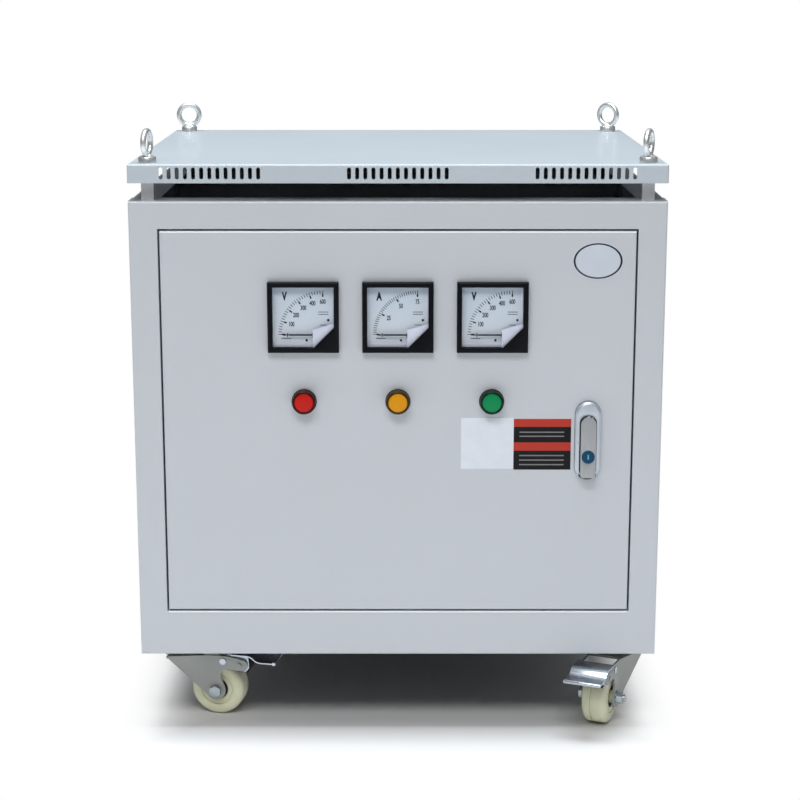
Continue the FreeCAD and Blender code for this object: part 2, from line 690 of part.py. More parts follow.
def lock_spindle():
    """The turntable that carries the lever, with its shaft through the door and a riveted end."""
    z, axis = spindle_height(), lever_axis()
    disc = rod(SPINDLE_DISC, point(LOCK_X, lock_face(), z), Y_AXIS, SPINDLE_DISC_DEPTH)
    shaft = rod(SPINDLE, point(LOCK_X, lock_face(), z), Y_AXIS, cam_front() - lock_face())
    end = rod(SPINDLE_END, point(LOCK_X, cam_front(), z), Y_AXIS, CAM_THICK)
    head = rod(SPINDLE_HEAD, point(LOCK_X, cam_front() + CAM_THICK, z), Y_AXIS, SPINDLE_HEAD_THICK)
    eye = rod(LUG_EYE, axis - X_AXIS * (LUG_WIDTH / 2), X_AXIS, LUG_WIDTH)
    stem = box(LOCK_X - LUG_WIDTH / 2, LOCK_X + LUG_WIDTH / 2, axis.y, lock_face() + SPINDLE_DISC_DEPTH / 2,
               axis.z - LUG_EYE * 0.45, z + SPINDLE_DISC / 2 - 1)
    pin_hole = rod(LOCK_PIN, axis - X_AXIS * LUG_WIDTH, X_AXIS, 2 * LUG_WIDTH)
    return joined([disc, shaft, end, head, eye, stem]).cut(pin_hole)


def lock_lever():
    """The long lever, round at its top, hollowed behind for the turntable's lug and pocketed for the key."""
    back, axis = lever_back(), lever_axis()
    front, radius = back - LEVER_THICK, LEVER_WIDTH / 2
    left, right = LOCK_X - radius, LOCK_X + radius
    outline = joined([box(left, right, front, back, LEVER_LOW, spindle_height()),
                      rod(LEVER_WIDTH, point(LOCK_X, front, spindle_height()), Y_AXIS, LEVER_THICK)])
    bottom = [edge for edge in outline.Edges
              if edge.BoundBox.YLength > LEVER_THICK / 2 and edge.BoundBox.ZMax < LEVER_LOW + 1]
    outline = outline.makeFillet(radius * 0.45, bottom)
    heel = rod(2 * LOCK_PIN_DEPTH, axis - X_AXIS * radius, X_AXIS, LEVER_WIDTH)
    crest = box(left, right, front, axis.y, axis.z - 1, LEVER_HIGH)
    flank = box(left, right, front, back, LEVER_LOW - 1, axis.z)
    lever = outline.common(joined([heel, crest, flank]))
    half_slot = LUG_WIDTH / 2 + SLACK
    slot = box(LOCK_X - half_slot, LOCK_X + half_slot, front + LEVER_FRONT_SKIN, back + 1,
               axis.z - LUG_EYE / 2 - SLACK, LEVER_HIGH + 1)
    pin_hole = rod(LOCK_PIN + 2 * RUNNING, axis - X_AXIS * radius, X_AXIS, LEVER_WIDTH)
    pocket = rod(KEY_BARREL + 2 * RUNNING, point(LOCK_X, front - 1, KEY_Z), Y_AXIS, KEY_DEPTH + 1)
    return lever.cut([slot, pin_hole, pocket])


def lock_pin():
    """The cross pin on which the lever lifts."""
    reach = LEVER_WIDTH * 0.3
    return rod(LOCK_PIN, lever_axis() - X_AXIS * reach, X_AXIS, 2 * reach)


def lock_key_barrel():
    """The blue key barrel, turned with the key, with its keyway."""
    front = lever_back() - LEVER_THICK - KEY_PROUD
    barrel = rod(KEY_BARREL, point(LOCK_X, front, KEY_Z), Y_AXIS, KEY_PROUD + KEY_DEPTH - RUNNING)
    keyway = box(LOCK_X - KEYWAY_WIDTH / 2, LOCK_X + KEYWAY_WIDTH / 2, front - 1, front + KEYWAY_DEPTH,
                 KEY_Z - KEYWAY_LENGTH / 2, KEY_Z + KEYWAY_LENGTH / 2)
    return barrel.cut(keyway)


def lock_cam():
    """The bar that goes behind the frame's fold when the lever is turned."""
    z, front = spindle_height(), cam_front()
    reach = CAM_LENGTH - CAM_WIDTH / 2
    bar = box(LOCK_X - CAM_WIDTH / 2, LOCK_X + CAM_WIDTH / 2, front, front + CAM_THICK, z - reach, z)
    ends = [rod(CAM_WIDTH, point(LOCK_X, front, z - drop), Y_AXIS, CAM_THICK) for drop in (0, reach)]
    return joined([bar] + ends).cut(rod(SPINDLE_END, point(LOCK_X, front - 1, z), Y_AXIS, CAM_THICK + 2))


# Casters. Each is drawn trailing along +X from its swivel axis and is then turned and moved to its place.

def caster_centres():
    reach_y = DEPTH / 2 - CASTER_INSET
    return {name: (sx * CASTER_X, MIDDLE + sy * reach_y) for name, (sx, sy) in CORNERS.items()}


def placed(shape, corner):
    shape = shape.copy()
    shape.rotate(point(0, 0, 0), Z_AXIS, CASTER_TURNS[corner])
    shape.translate(point(*caster_centres()[corner], 0))
    return shape


def across(diameter, out, up, reach):
    """A round bar through the fork from side to side, this far out and up and reaching this far each way."""
    return rod(diameter, point(out, -reach, up), Y_AXIS, 2 * reach)


def plate_low():
    return LIP + SHEET - PLATE_THICK


def crown_top():
    return plate_low() - RACE_HEIGHT - SLACK


def caster_plates():
    """Top plates with their bolts, the ball race's housing and the kingpin that holds the fork."""
    plates = []
    for x, y in caster_centres().values():
        plate = box(x - PLATE_WIDTH / 2, x + PLATE_WIDTH / 2, y - PLATE_LENGTH / 2, y + PLATE_LENGTH / 2,
                    plate_low(), plate_low() + PLATE_THICK)
        race_low = plate_low() - RACE_HEIGHT
        race = rod(CROWN, point(x, y, race_low), Z_AXIS, RACE_HEIGHT)
        head_top = crown_top() - CROWN_THICK - SLACK
        pin = rod(KINGPIN, point(x, y, head_top), Z_AXIS, race_low - head_top)
        head = rod(KINGPIN_HEAD, point(x, y, head_top - KINGPIN_HEAD_HEIGHT), Z_AXIS, KINGPIN_HEAD_HEIGHT)
        bolts = [hexagon(HEX_WIDTH, point(x + dx * PLATE_BOLT_X / 2, y + dy * PLATE_BOLT_Y / 2, plate_low()),
                         Z_AXIS * -1, AXLE_HEAD) for dx in (-1, 1) for dy in (-1, 1)]
        plates.append(joined([plate, race, pin, head] + bolts))
    return plates


def tangent_from(start, centre, radius, side):
    """Where a line from start touches a circle, both as (x, z) pairs."""
    dx, dz = centre[0] - start[0], centre[1] - start[1]
    distance = math.hypot(dx, dz)
    angle = math.atan2(dz, dx) + side * math.asin(radius / distance)
    length = math.sqrt(distance ** 2 - radius ** 2)
    return start[0] + length * math.cos(angle), start[1] + length * math.sin(angle)


def curve_through(places):
    curve = Part.BSplineCurve()
    curve.interpolate([point(x, 0, z) for x, z in places])
    return curve.toShape()


def cheek_leg(braked, inner_bend):
    """The flat leg's face at y = 0, from the bend forward and down to the axle."""
    top, front = crown_top(), TRAIL + FORK_END
    if braked:
        nose_top = tangent_from((CHEEK_TOP, top), (HORN_OUT, HORN_UP), HORN_END, 1)
        throat = [(TRAIL + out, AXLE_UP + up) for out, up in THROAT] + [(front, AXLE_UP)]
        outline = [(inner_bend, top), (CHEEK_TOP, top), nose_top, (HORN_OUT, HORN_UP),
                   (HORN_OUT, HORN_UP - HORN_END), throat[0]]
    else:
        throat = [(CHEEK_TOP - FORK_END, top), (front - FORK_SHEET, top - FORK_END), (front, AXLE_UP)]
        outline = [(inner_bend, top), throat[0]]
    outline = [(front, AXLE_UP), (TRAIL, AXLE_UP), (inner_bend, AXLE_UP)] + outline
    edges = [curve_through(throat)]
    for start, end in zip(outline, outline[1:]):
        edges.append(Part.LineSegment(point(start[0], 0, start[1]), point(end[0], 0, end[1])).toShape())
    return Part.Face(Part.Wire(Part.__sortEdges__(edges)))


def cheek(side, braked):
    """One cheek: flat beside the wheel and splayed towards the crown, bent about an upright line."""
    top = crown_top()
    low_y = min(side * FORK_HALF, side * FORK_INSIDE / 2)
    splay = math.radians(CHEEK_SPLAY)
    inner_bend = CHEEK_BEND - FORK_SHEET * math.sin(splay)
    heel = tangent_from((-CHEEK_BACK, top), (TRAIL, AXLE_UP), FORK_END, -1)
    leg = cheek_leg(braked, inner_bend).extrude(Y_AXIS * FORK_SHEET)
    leg.translate(Y_AXIS * low_y)
    flat = [leg, rod(2 * FORK_END, point(TRAIL, low_y, AXLE_UP), Y_AXIS, FORK_SHEET)]
    if braked:
        flat.append(rod(2 * HORN_END, point(HORN_OUT, low_y, HORN_UP), Y_AXIS, FORK_SHEET))
    behind = box(0, inner_bend, low_y - 1, low_y + FORK_SHEET + 1, 0, top + 1)
    flat = joined(flat).cut(behind)
    span = (CHEEK_BEND + CHEEK_BACK) / math.cos(splay)
    corners = [(CHEEK_BEND, top), (CHEEK_BEND - span, top), (CHEEK_BEND, heel[1])]
    wing = prism([point(x, low_y, z) for x, z in corners], Y_AXIS, FORK_SHEET)
    wing.rotate(point(CHEEK_BEND, side * FORK_HALF, 0), Z_AXIS, -side * CHEEK_SPLAY)
    return [flat, wing]


def fork(corner, braked):
    """A pressed fork: a crown under the race, two splayed cheeks down to the axle and a brake's two horns."""
    top = crown_top()
    spread = math.tan(math.radians(CHEEK_SPLAY))
    middle = FORK_HALF - FORK_SHEET / 2
    back_half = middle + (CHEEK_BEND + CHEEK_BACK) * spread
    front_half = middle + (CHEEK_BEND - CROWN_FRONT) * spread
    web = prism([point(x, y, top - CROWN_THICK) for x, y in
                 ((-CHEEK_BACK, -back_half), (CROWN_FRONT, -front_half), (CROWN_FRONT, front_half),
                  (-CHEEK_BACK, back_half))], Z_AXIS, CROWN_THICK)
    pieces = [web, rod(CROWN, point(0, 0, top - CROWN_THICK), Z_AXIS, CROWN_THICK)]
    pieces += cheek(-1, braked) + cheek(1, braked)
    cutters = [across(AXLE, TRAIL, AXLE_UP, FORK_HALF + 1),
               rod(KINGPIN + 2 * RUNNING, point(0, 0, top - CROWN_THICK - 1), Z_AXIS, CROWN_THICK + 2)]
    if braked:
        for side in (-1, 1):
            pieces.append(rod(STOP_RIVET, point(STOP_RIVET_OUT, side * FORK_INSIDE / 2, STOP_RIVET_UP),
                              Y_AXIS * side, FORK_SHEET + STOP_RIVET_PROUD))
        cutters.append(across(PEDAL_RIVET + 2 * RUNNING, PEDAL_PIVOT_OUT, PEDAL_PIVOT_UP, FORK_HALF + 1))
    return placed(joined(pieces).cut(cutters), corner)


def wheel(corner):
    """A moulded nylon wheel with chamfered shoulders, recessed sides and a hub that reaches the fork."""
    radius, half, hub_half = WHEEL / 2, WHEEL_WIDTH / 2, FORK_INSIDE / 2 - SLACK
    floor = half - WHEEL_RECESS_DEPTH
    side = [(AXLE / 2 + RUNNING, hub_half), (HUB / 2, hub_half), (HUB / 2, floor), (WHEEL_RECESS / 2, floor),
            (WHEEL_RECESS / 2, half), (radius - WHEEL_SHOULDER, half), (radius, half - WHEEL_SHOULDER)]
    profile = side + [(r, -along) for r, along in reversed(side)]
    return placed(turned(profile, point(TRAIL, 0, AXLE_UP), Y_AXIS), corner)


def axle(corner):
    """The axle bolt through the fork and wheel, with its washer and nut."""
    centre = point(TRAIL, 0, AXLE_UP)
    head = hexagon(HEX_WIDTH, centre - Y_AXIS * (FORK_HALF + AXLE_HEAD), Y_AXIS, AXLE_HEAD)
    end = AXLE_WASHER_THICK + AXLE_NUT + AXLE_STUD
    shank = rod(AXLE, centre - Y_AXIS * FORK_HALF, Y_AXIS, 2 * FORK_HALF + end)
    washer = rod(AXLE_WASHER, centre + Y_AXIS * FORK_HALF, Y_AXIS, AXLE_WASHER_THICK)
    nut = hexagon(HEX_WIDTH, centre + Y_AXIS * (FORK_HALF + AXLE_WASHER_THICK), Y_AXIS, AXLE_NUT)
    return placed(joined([head, shank, washer, nut]), corner)


def tread_edges(depth):
    """The tread's profile this far under its top: level, down through two equal arcs, and level again."""
    run, high, low = TREAD_STEP_END - TREAD_STEP_START, TREAD_TOP, TREAD_TOP - TREAD_STEP_DROP
    radius = (run ** 2 + TREAD_STEP_DROP ** 2) / (4 * TREAD_STEP_DROP)
    sweep = math.asin(run / 2 / radius)
    upper, lower = [], []
    for angle in (0, sweep / 2, sweep):
        upper.append(point(TREAD_STEP_START + (radius - depth) * math.sin(angle), -TREAD_WIDTH / 2,
                           high - radius + (radius - depth) * math.cos(angle)))
        lower.append(point(TREAD_STEP_END - (radius + depth) * math.sin(angle), -TREAD_WIDTH / 2,
                           low + radius - (radius + depth) * math.cos(angle)))
    start = point(TREAD_START, -TREAD_WIDTH / 2, high - depth)
    end = point(TREAD_END, -TREAD_WIDTH / 2, low - depth)
    edges = [Part.LineSegment(start, upper[0]), Part.Arc(*upper), Part.Arc(*lower),
             Part.LineSegment(lower[0], end)]
    return [edge.toShape() for edge in edges], start, end


def pedal_tread():
    """The stepped plate that the foot presses, with its rolled lip."""
    top, top_start, top_end = tread_edges(0)
    under, under_start, under_end = tread_edges(PEDAL_SHEET)
    closing = [Part.LineSegment(a, b).toShape() for a, b in ((top_start, under_start), (top_end, under_end))]
    face = Part.Face(Part.Wire(Part.__sortEdges__(top + under + closing)))
    lip_up = TREAD_TOP - TREAD_STEP_DROP - PEDAL_SHEET / 2
    return [face.extrude(Y_AXIS * TREAD_WIDTH), across(TREAD_LIP, TREAD_END, lip_up, TREAD_WIDTH / 2)]


def pedal_ears():
    """Two ears inside the fork's horns, from the pivot out under the tread."""
    under = TREAD_TOP - PEDAL_SHEET / 2
    outline = [(PEDAL_PIVOT_OUT + out, PEDAL_PIVOT_UP + up) for out, up in EAR_AT_PIVOT]
    outline += [(TREAD_START, under), (PAD_BAR_OUT + EAR_REACH, under)]
    outline += [(PAD_BAR_OUT + out, PAD_BAR_UP + up) for out, up in EAR_AT_BAR]
    outside = FORK_INSIDE / 2 - SLACK
    return [prism([point(x, y, z) for x, z in outline], Y_AXIS, PEDAL_SHEET)
            for y in (-outside, outside - PEDAL_SHEET)]


def brake_pedal(corner):
    """A pressed pedal on two rivets through the fork's horns, with a cross bar for the pad."""
    pieces = pedal_tread() + pedal_ears()
    pieces.append(across(PAD_BAR, PAD_BAR_OUT, PAD_BAR_UP, FORK_INSIDE / 2 - SLACK))
    inside, head = FORK_INSIDE / 2 - SLACK - PEDAL_SHEET, FORK_HALF + SLACK
    for side in (-1, 1):
        start = point(PEDAL_PIVOT_OUT, side * inside, PEDAL_PIVOT_UP)
        pieces.append(rod(PEDAL_RIVET, start, Y_AXIS * side, head - inside))
        pieces.append(rod(PEDAL_RIVET_HEAD, start + Y_AXIS * (side * (head - inside)), Y_AXIS * side,
                          PEDAL_RIVET_PROUD))
    return placed(joined(pieces), corner)


def brake_pad(corner):
    """The rubber block on the cross bar, just clear of the tread."""
    block = box(PAD_BAR_OUT - PAD_LENGTH / 2, PAD_BAR_OUT + PAD_LENGTH / 2, -PAD_WIDTH / 2, PAD_WIDTH / 2,
                PAD_BAR_UP - PAD_HEIGHT / 2, PAD_BAR_UP + PAD_HEIGHT / 2)
    return placed(block.cut(across(PAD_BAR, PAD_BAR_OUT, PAD_BAR_UP, PAD_WIDTH)), corner)


# Transformer core, windings, clamps and terminals

def core():
    """The three-limb laminated core."""
    half = CORE_LENGTH / 2
    block = box(-half, half, MIDDLE - STACK / 2, MIDDLE + STACK / 2, CORE_LOW, CORE_HIGH)
    windows = [box(x - WINDOW / 2, x + WINDOW / 2, MIDDLE - STACK, MIDDLE + STACK,
                   CORE_LOW + LIMB_WIDTH, CORE_HIGH - LIMB_WIDTH) for x in (-LIMB_PITCH / 2, LIMB_PITCH / 2)]
    return block.cut(windows)


def windings(gap, build):
    """Three rectangular windings with rounded corners, this far off the limbs."""
    coils = []
    for x in (-LIMB_PITCH, 0.0, LIMB_PITCH):
        inside_x, inside_y = LIMB_WIDTH / 2 + gap, STACK / 2 + gap
        outer = rounded_rectangle(x, MIDDLE, inside_x + build, inside_y + build, WINDING_CORNER,
                                  COIL_LOW, COIL_HIGH - COIL_LOW)
        coils.append(outer.cut(box(x - inside_x, x + inside_x, MIDDLE - inside_y, MIDDLE + inside_y,
                                   COIL_LOW - 1, COIL_HIGH + 1)))
    return coils


def duct_sticks():
    """Spacers that keep the air duct open between the inner and outer windings, front and back."""
    sticks = []
    near, far = STACK / 2 + LIMB_GAP + INNER_BUILD, STACK / 2 + LIMB_GAP + INNER_BUILD + DUCT
    for limb_x in (-LIMB_PITCH, 0.0, LIMB_PITCH):
        for place in range(STICKS_PER_SIDE):
            x = limb_x + (place - (STICKS_PER_SIDE - 1) / 2) * LIMB_WIDTH / STICKS_PER_SIDE
            left, right = x - STICK_WIDTH / 2, x + STICK_WIDTH / 2
            sticks.append(box(left, right, MIDDLE - far, MIDDLE - near, COIL_LOW, COIL_HIGH))
            sticks.append(box(left, right, MIDDLE + near, MIDDLE + far, COIL_LOW, COIL_HIGH))
    return sticks


def clamps(z_low):
    """Two channels that grip a yoke from the front and the back, with the bolts that draw them together."""
    pieces, half = [], CLAMP_LENGTH / 2
    for side in (-1, 1):
        near, far = MIDDLE + side * STACK / 2, MIDDLE + side * (STACK / 2 + CLAMP_WIDTH)
        block = box(-half, half, min(near, far), max(near, far), z_low, z_low + CLAMP_HEIGHT)
        web = near + side * CLAMP_WALL
        hollow = box(-CLAMP_LENGTH, CLAMP_LENGTH, min(web, far + side), max(web, far + side),
                     z_low + CLAMP_WALL, z_low + CLAMP_HEIGHT - CLAMP_WALL)
        pieces.append(block.cut(hollow))
    reach, z = STACK / 2 + CLAMP_WALL, z_low + CLAMP_HEIGHT / 2
    for side in (-1, 1):
        x = side * (CORE_LENGTH / 2 + CLAMP_BOLT)
        pieces.append(rod(CLAMP_BOLT, point(x, MIDDLE - STACK / 2, z), Y_AXIS, STACK))
        for end in (-1, 1):
            pieces.append(hexagon(CLAMP_BOLT_HEAD, point(x, MIDDLE + end * reach, z), Y_AXIS * end,
                                  CLAMP_BOLT_HEAD_HEIGHT))
    return joined(pieces)


def upper_clamp_low():
    return CORE_HIGH + CORE_LIFT - CLAMP_HEIGHT


def rubber_pads():
    """Isolating pads between the beams and the lower clamps."""
    pads = []
    for x in (-CASTER_X, CASTER_X):
        for side in (-1, 1):
            y = MIDDLE + side * (STACK / 2 + CLAMP_WIDTH / 2)
            pads.append(box(x - BEAM_WIDTH / 2, x + BEAM_WIDTH / 2, y - ISOLATOR_LENGTH / 2,
                            y + ISOLATOR_LENGTH / 2, BEAM_TOP, BEAM_TOP + ISOLATOR_HEIGHT))
    return pads


def board_low():
    return upper_clamp_low() + CLAMP_HEIGHT + BOARD_LIFT


def terminal_board():
    """The insulating board on two battens across the top clamps."""
    half, deep, low = BOARD_LENGTH / 2, STACK / 2 + CLAMP_WIDTH / 2, board_low()
    board = box(-half, half, MIDDLE - BOARD_DEPTH / 2, MIDDLE + BOARD_DEPTH / 2, low, low + BOARD_THICK)
    battens = [box(x - BOARD_LIFT, x + BOARD_LIFT, MIDDLE - deep, MIDDLE + deep, low - BOARD_LIFT, low)
               for x in (-half + BOARD_LIFT, half - BOARD_LIFT)]
    return joined([board] + battens)


def busbars():
    """Flat leads from the windings, over the board's edges, each with its terminal bolt."""
    bars = []
    depth = STACK / 2 + LIMB_GAP + INNER_BUILD + DUCT + OUTER_BUILD / 2
    top = board_low() + BOARD_THICK
    half = BUSBAR_WIDTH / 2
    for column in (-1, 0, 1):
        for side in (-1, 1):
            x = column * LIMB_PITCH + side * BUSBAR_WIDTH
            rise = MIDDLE + side * depth
            end = MIDDLE + side * BOARD_DEPTH / 4
            face = side * BUSBAR_THICK / 2
            riser = box(x - half, x + half, min(rise - face, rise + face), max(rise - face, rise + face),
                        COIL_HIGH, top + BUSBAR_THICK)
            near, far = rise + face, end - side * half
            tail = box(x - half, x + half, min(near, far), max(near, far), top, top + BUSBAR_THICK)
            bolt = hexagon(HEX_WIDTH, point(x, end, top + BUSBAR_THICK), Z_AXIS, AXLE_HEAD)
            bars.append(joined([riser, tail, bolt]))
    return bars


def build():
    """Every piece by its node's name."""
    nodes = {
        "front_frame": front_frame(),
        "side_wall_left": side_wall(-1),
        "side_wall_right": side_wall(1),
        "rear_panel": rear_panel(),
        "base_beams": base_beams(),
        "lid": lid(),
        "lid_posts": lid_posts(),
        "eye_bolts": eye_bolts(),
        "door_panel": door_panel(),
        "hinge_pins": hinge_pins(),
        "meter_dials": meter_dials(),
        "meter_windows": meter_windows(),
        "lamp_bodies": lamp_bodies(),
        "lock_housing": lock_housing(),
        "lock_spindle": lock_spindle(),
        "lock_lever": lock_lever(),
        "lock_pin": lock_pin(),
        "lock_key_barrel": lock_key_barrel(),
        "lock_cam": lock_cam(),
        "caster_plates": caster_plates(),
        "core": core(),
        "inner_windings": windings(LIMB_GAP, INNER_BUILD),
        "outer_windings": windings(LIMB_GAP + INNER_BUILD + DUCT, OUTER_BUILD),
        "duct_sticks": duct_sticks(),
        "lower_clamps": clamps(CLAMP_LOW),
        "upper_clamps": clamps(upper_clamp_low()),
        "rubber_pads": rubber_pads(),
        "terminal_board": terminal_board(),
        "busbars": busbars(),
    }
    for name, x in zip(("left", "middle", "right"), METER_CENTRES):
        nodes["meter_case_" + name] = meter_case(x)
        nodes["meter_pointer_" + name] = meter_pointer(x)
    for name, x in zip(("red", "amber", "green"), METER_CENTRES):
        nodes["lamp_cap_" + name] = lamp_cap(x)
    for corner in CORNERS:
        braked = corner.startswith("front")
        nodes["fork_" + corner] = fork(corner, braked)
        nodes["wheel_" + corner] = wheel(corner)
        nodes["axle_" + corner] = axle(corner)
        if braked:
            nodes["brake_pedal_" + corner] = brake_pedal(corner)
            nodes["brake_pad_" + corner] = brake_pad(corner)
    return nodes


def solids_of(shape):
    shapes = shape if isinstance(shape, list) else [shape]
    return [solid for item in shapes for solid in item.Solids]


os.makedirs("parts", exist_ok=True)
for node, shape in build().items():
    solids = solids_of(shape)
    whole = solids[0] if len(solids) == 1 else Part.makeCompound(solids)
    whole.exportStep("parts/" + node + ".step")
    print(node, len(solids), "solids,", "valid" if whole.isValid() else "NOT VALID")
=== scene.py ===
import json
import math

import bpy
from mathutils import Matrix, Vector


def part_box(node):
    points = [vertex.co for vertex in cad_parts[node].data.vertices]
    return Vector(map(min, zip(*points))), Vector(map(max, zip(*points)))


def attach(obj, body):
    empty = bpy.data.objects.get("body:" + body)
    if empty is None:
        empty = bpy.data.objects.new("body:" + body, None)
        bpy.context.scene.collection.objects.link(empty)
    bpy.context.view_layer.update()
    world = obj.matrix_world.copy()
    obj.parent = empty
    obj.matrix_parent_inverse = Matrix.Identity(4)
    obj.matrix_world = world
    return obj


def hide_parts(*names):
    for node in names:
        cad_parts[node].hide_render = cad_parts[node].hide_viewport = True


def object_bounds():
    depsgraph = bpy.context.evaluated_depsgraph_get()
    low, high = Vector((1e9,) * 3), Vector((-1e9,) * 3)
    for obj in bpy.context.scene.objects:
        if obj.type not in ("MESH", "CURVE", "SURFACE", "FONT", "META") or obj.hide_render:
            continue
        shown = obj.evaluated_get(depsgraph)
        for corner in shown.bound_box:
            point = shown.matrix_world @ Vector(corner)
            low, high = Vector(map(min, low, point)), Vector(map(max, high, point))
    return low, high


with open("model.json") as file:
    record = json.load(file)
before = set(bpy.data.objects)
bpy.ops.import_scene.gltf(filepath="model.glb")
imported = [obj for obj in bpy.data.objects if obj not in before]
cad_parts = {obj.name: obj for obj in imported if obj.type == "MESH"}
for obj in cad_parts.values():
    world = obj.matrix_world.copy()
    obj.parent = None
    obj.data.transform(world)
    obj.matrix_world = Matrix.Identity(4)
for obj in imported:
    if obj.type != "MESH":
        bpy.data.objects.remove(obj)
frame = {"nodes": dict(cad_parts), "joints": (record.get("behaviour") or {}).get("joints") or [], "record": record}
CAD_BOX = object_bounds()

bl_info = {
    "name": "Transformer Cabinet",
    "version": (1, 0, 0),
    "blender": (4, 5, 0),
    "location": "3D View > Sidebar > Cabinet",
    "description": "Finishes, fine pieces and a studio stage for a dry-type transformer cabinet on casters",
    "category": "Object",
}

MM = 0.001


def in_mm(*pairs):
    """Pairs of millimetres as pairs of metres."""
    return [(first * MM, second * MM) for first, second in pairs]


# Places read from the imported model

SHELL_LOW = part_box("front_frame")[0]
REAR_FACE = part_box("rear_panel")[1].y
DOOR_LOW, DOOR_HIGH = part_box("door_panel")
FRONT = SHELL_LOW.y
LIP = SHELL_LOW.z
METERS = ("left", "middle", "right")
LAMPS = ("red", "amber", "green")
CORNERS = ("front_left", "front_right", "rear_left", "rear_right")
JOINTS = {joint["name"]: joint for joint in frame["joints"]}

# Directions

ALONG_Y = Vector((0, 1, 0))
ALONG_Z = Vector((0, 0, 1))
TO_FRONT = Vector((0, -1, 0))


# Sizes and colours that a user may change

def swatch(name, description, colour):
    """A colour as it looks on screen in plain light."""
    return bpy.props.FloatVectorProperty(name=name, description=description, subtype="COLOR_GAMMA", size=3,
                                         min=0, max=1, default=colour)


def length(name, description, size):
    """A length in metres."""
    return bpy.props.FloatProperty(name=name, description=description, unit="LENGTH", default=size)


class CabinetColours(bpy.types.PropertyGroup):
    """Colours of the paint, plastic, metal and labels."""

    shell: swatch("Shell", "Powder coat of the body and door", (0.765, 0.783, 0.808))
    # The lid and the posts carry the shell's paint: the lid's colour is a darker, bluer copy, painted shade and
    # painted bluish light from above, and the posts' colour is a lighter copy, painted light
    lid: swatch("Lid", "Powder coat of the lid", (0.735, 0.770, 0.800))
    post: swatch("Posts", "Powder coat of the lid's posts", (0.84, 0.85, 0.86))
    zinc: swatch("Zinc", "Dull zinc plate of the forks and plates", (0.62, 0.63, 0.62))
    bright_zinc: swatch("Bright zinc", "Bright zinc plate of the pedals", (0.73, 0.76, 0.79))
    eye: swatch("Eye bolts", "Pale plate of the lifting eyes", (0.91, 0.92, 0.92))
    bolt: swatch("Bolts", "Plate of the axle bolts and nuts", (0.66, 0.70, 0.71))
    lock: swatch("Lock", "Bright casting of the lock", (0.81, 0.84, 0.88))
    lever: swatch("Lever", "Satin face of the lever", (0.68, 0.69, 0.70))
    key: swatch("Key barrel", "Blue key barrel", (0.02, 0.26, 0.38))
    nylon: swatch("Wheels", "Cream nylon of the wheels", (0.89, 0.89, 0.77))
    red: swatch("Red lamp", "Lens of the left lamp", (0.76, 0.10, 0.07))
    amber: swatch("Amber lamp", "Lens of the middle lamp", (0.86, 0.58, 0.04))
    green: swatch("Green lamp", "Lens of the right lamp", (0.01, 0.53, 0.31))
    label_red: swatch("Label red", "Bands of the dark label", (0.72, 0.22, 0.17))


class MeterPrint(bpy.types.PropertyGroup):
    """The printed scales of the meters."""

    radius: length("Scale radius", "Outer ends of the scale marks", 50 * MM)
    short_mark: length("Short mark", "Length of a fine mark", 3.9 * MM)
    long_mark: length("Long mark", "Length of a numbered mark", 3.4 * MM)
    fine_line: length("Fine line", "Width of a fine mark", 0.75 * MM)
    bold_line: length("Bold line", "Width of a numbered mark", 1.7 * MM)
    number_height: length("Number height", "Size of the numbers", 7.2 * MM)
    number_radius: length("Number radius", "Distance of the numbers from the pivot", 37.2 * MM)
    letter_height: length("Letter height", "Size of the unit's letter", 12.6 * MM)
    narrowing: bpy.props.FloatProperty(
        name="Narrowing", description="Width of the lettering, against plain letters", default=0.62)


class StageSettings(bpy.types.PropertyGroup):
    """The camera and the light."""

    lens: bpy.props.FloatProperty(
        name="Lens", description="Focal length on a 36 mm sensor", subtype="DISTANCE_CAMERA", default=86.24)
    distance: length("Distance", "From the camera to the plane of the door", 2.122)
    height: length("Height", "Camera height above the shell's lower edge", 0.7764)
    offset: length("Offset", "Camera offset to the right", 0.0044)
    pitch: bpy.props.FloatProperty(
        name="Pitch", description="Downward look of the camera", subtype="ANGLE", default=math.radians(12.54))
    turn: bpy.props.FloatProperty(
        name="Turn", description="Leftward look of the camera", subtype="ANGLE", default=math.radians(0.055))
    key_power: bpy.props.FloatProperty(
        name="Key light", description="Power of the light in front", subtype="POWER", default=72.0)
    top_power: bpy.props.FloatProperty(
        name="Top light", description="Power of the large light overhead", subtype="POWER", default=150.0)
    ambient: bpy.props.FloatProperty(
        name="Ambient", description="Strength of the even light from above", default=0.21)
    floor_shadow: length("Shadow reach", "How far from the object the floor turns plain white", 0.17)


# Materials

def linear(colour):
    """A colour as it looks on screen, in the linear values that a shader takes."""
    return tuple(c / 12.92 if c <= 0.04045 else ((c + 0.055) / 1.055) ** 2.4 for c in colour) + (1.0,)


class Value:
    """A number that varies over a surface. Arithmetic on it adds Math nodes."""

    def __init__(self, finish, socket):
        self.finish = finish
        self.socket = socket

    def _math(self, operation, first, second=0.0, clamp=False):
        settings = {"operation": operation, "use_clamp": clamp}
        node = self.finish.node("ShaderNodeMath", settings, {0: first, 1: second})
        return Value(self.finish, node.outputs[0])

    def __add__(self, other):
        return self._math("ADD", self, other)

    def __sub__(self, other):
        return self._math("SUBTRACT", self, other)

    def __rsub__(self, other):
        return self._math("SUBTRACT", other, self)

    def __mul__(self, other):
        return self._math("MULTIPLY", self, other)

    def __truediv__(self, other):
        return self._math("DIVIDE", self, other)

    def __pow__(self, other):
        return self._math("POWER", self, other)

    __radd__ = __add__
    __rmul__ = __mul__

    def above(self, other):
        return self._math("GREATER_THAN", self, other)

    def below(self, other):
        return self._math("LESS_THAN", self, other)

    def largest(self, other):
        return self._math("MAXIMUM", self, other)

    def smallest(self, other):
        return self._math("MINIMUM", self, other)

    def size(self):
        return self._math("ABSOLUTE", self)

    def wave(self):
        return self._math("SINE", self)

    def clamped(self):
        return self._math("ADD", self, 0.0, clamp=True)


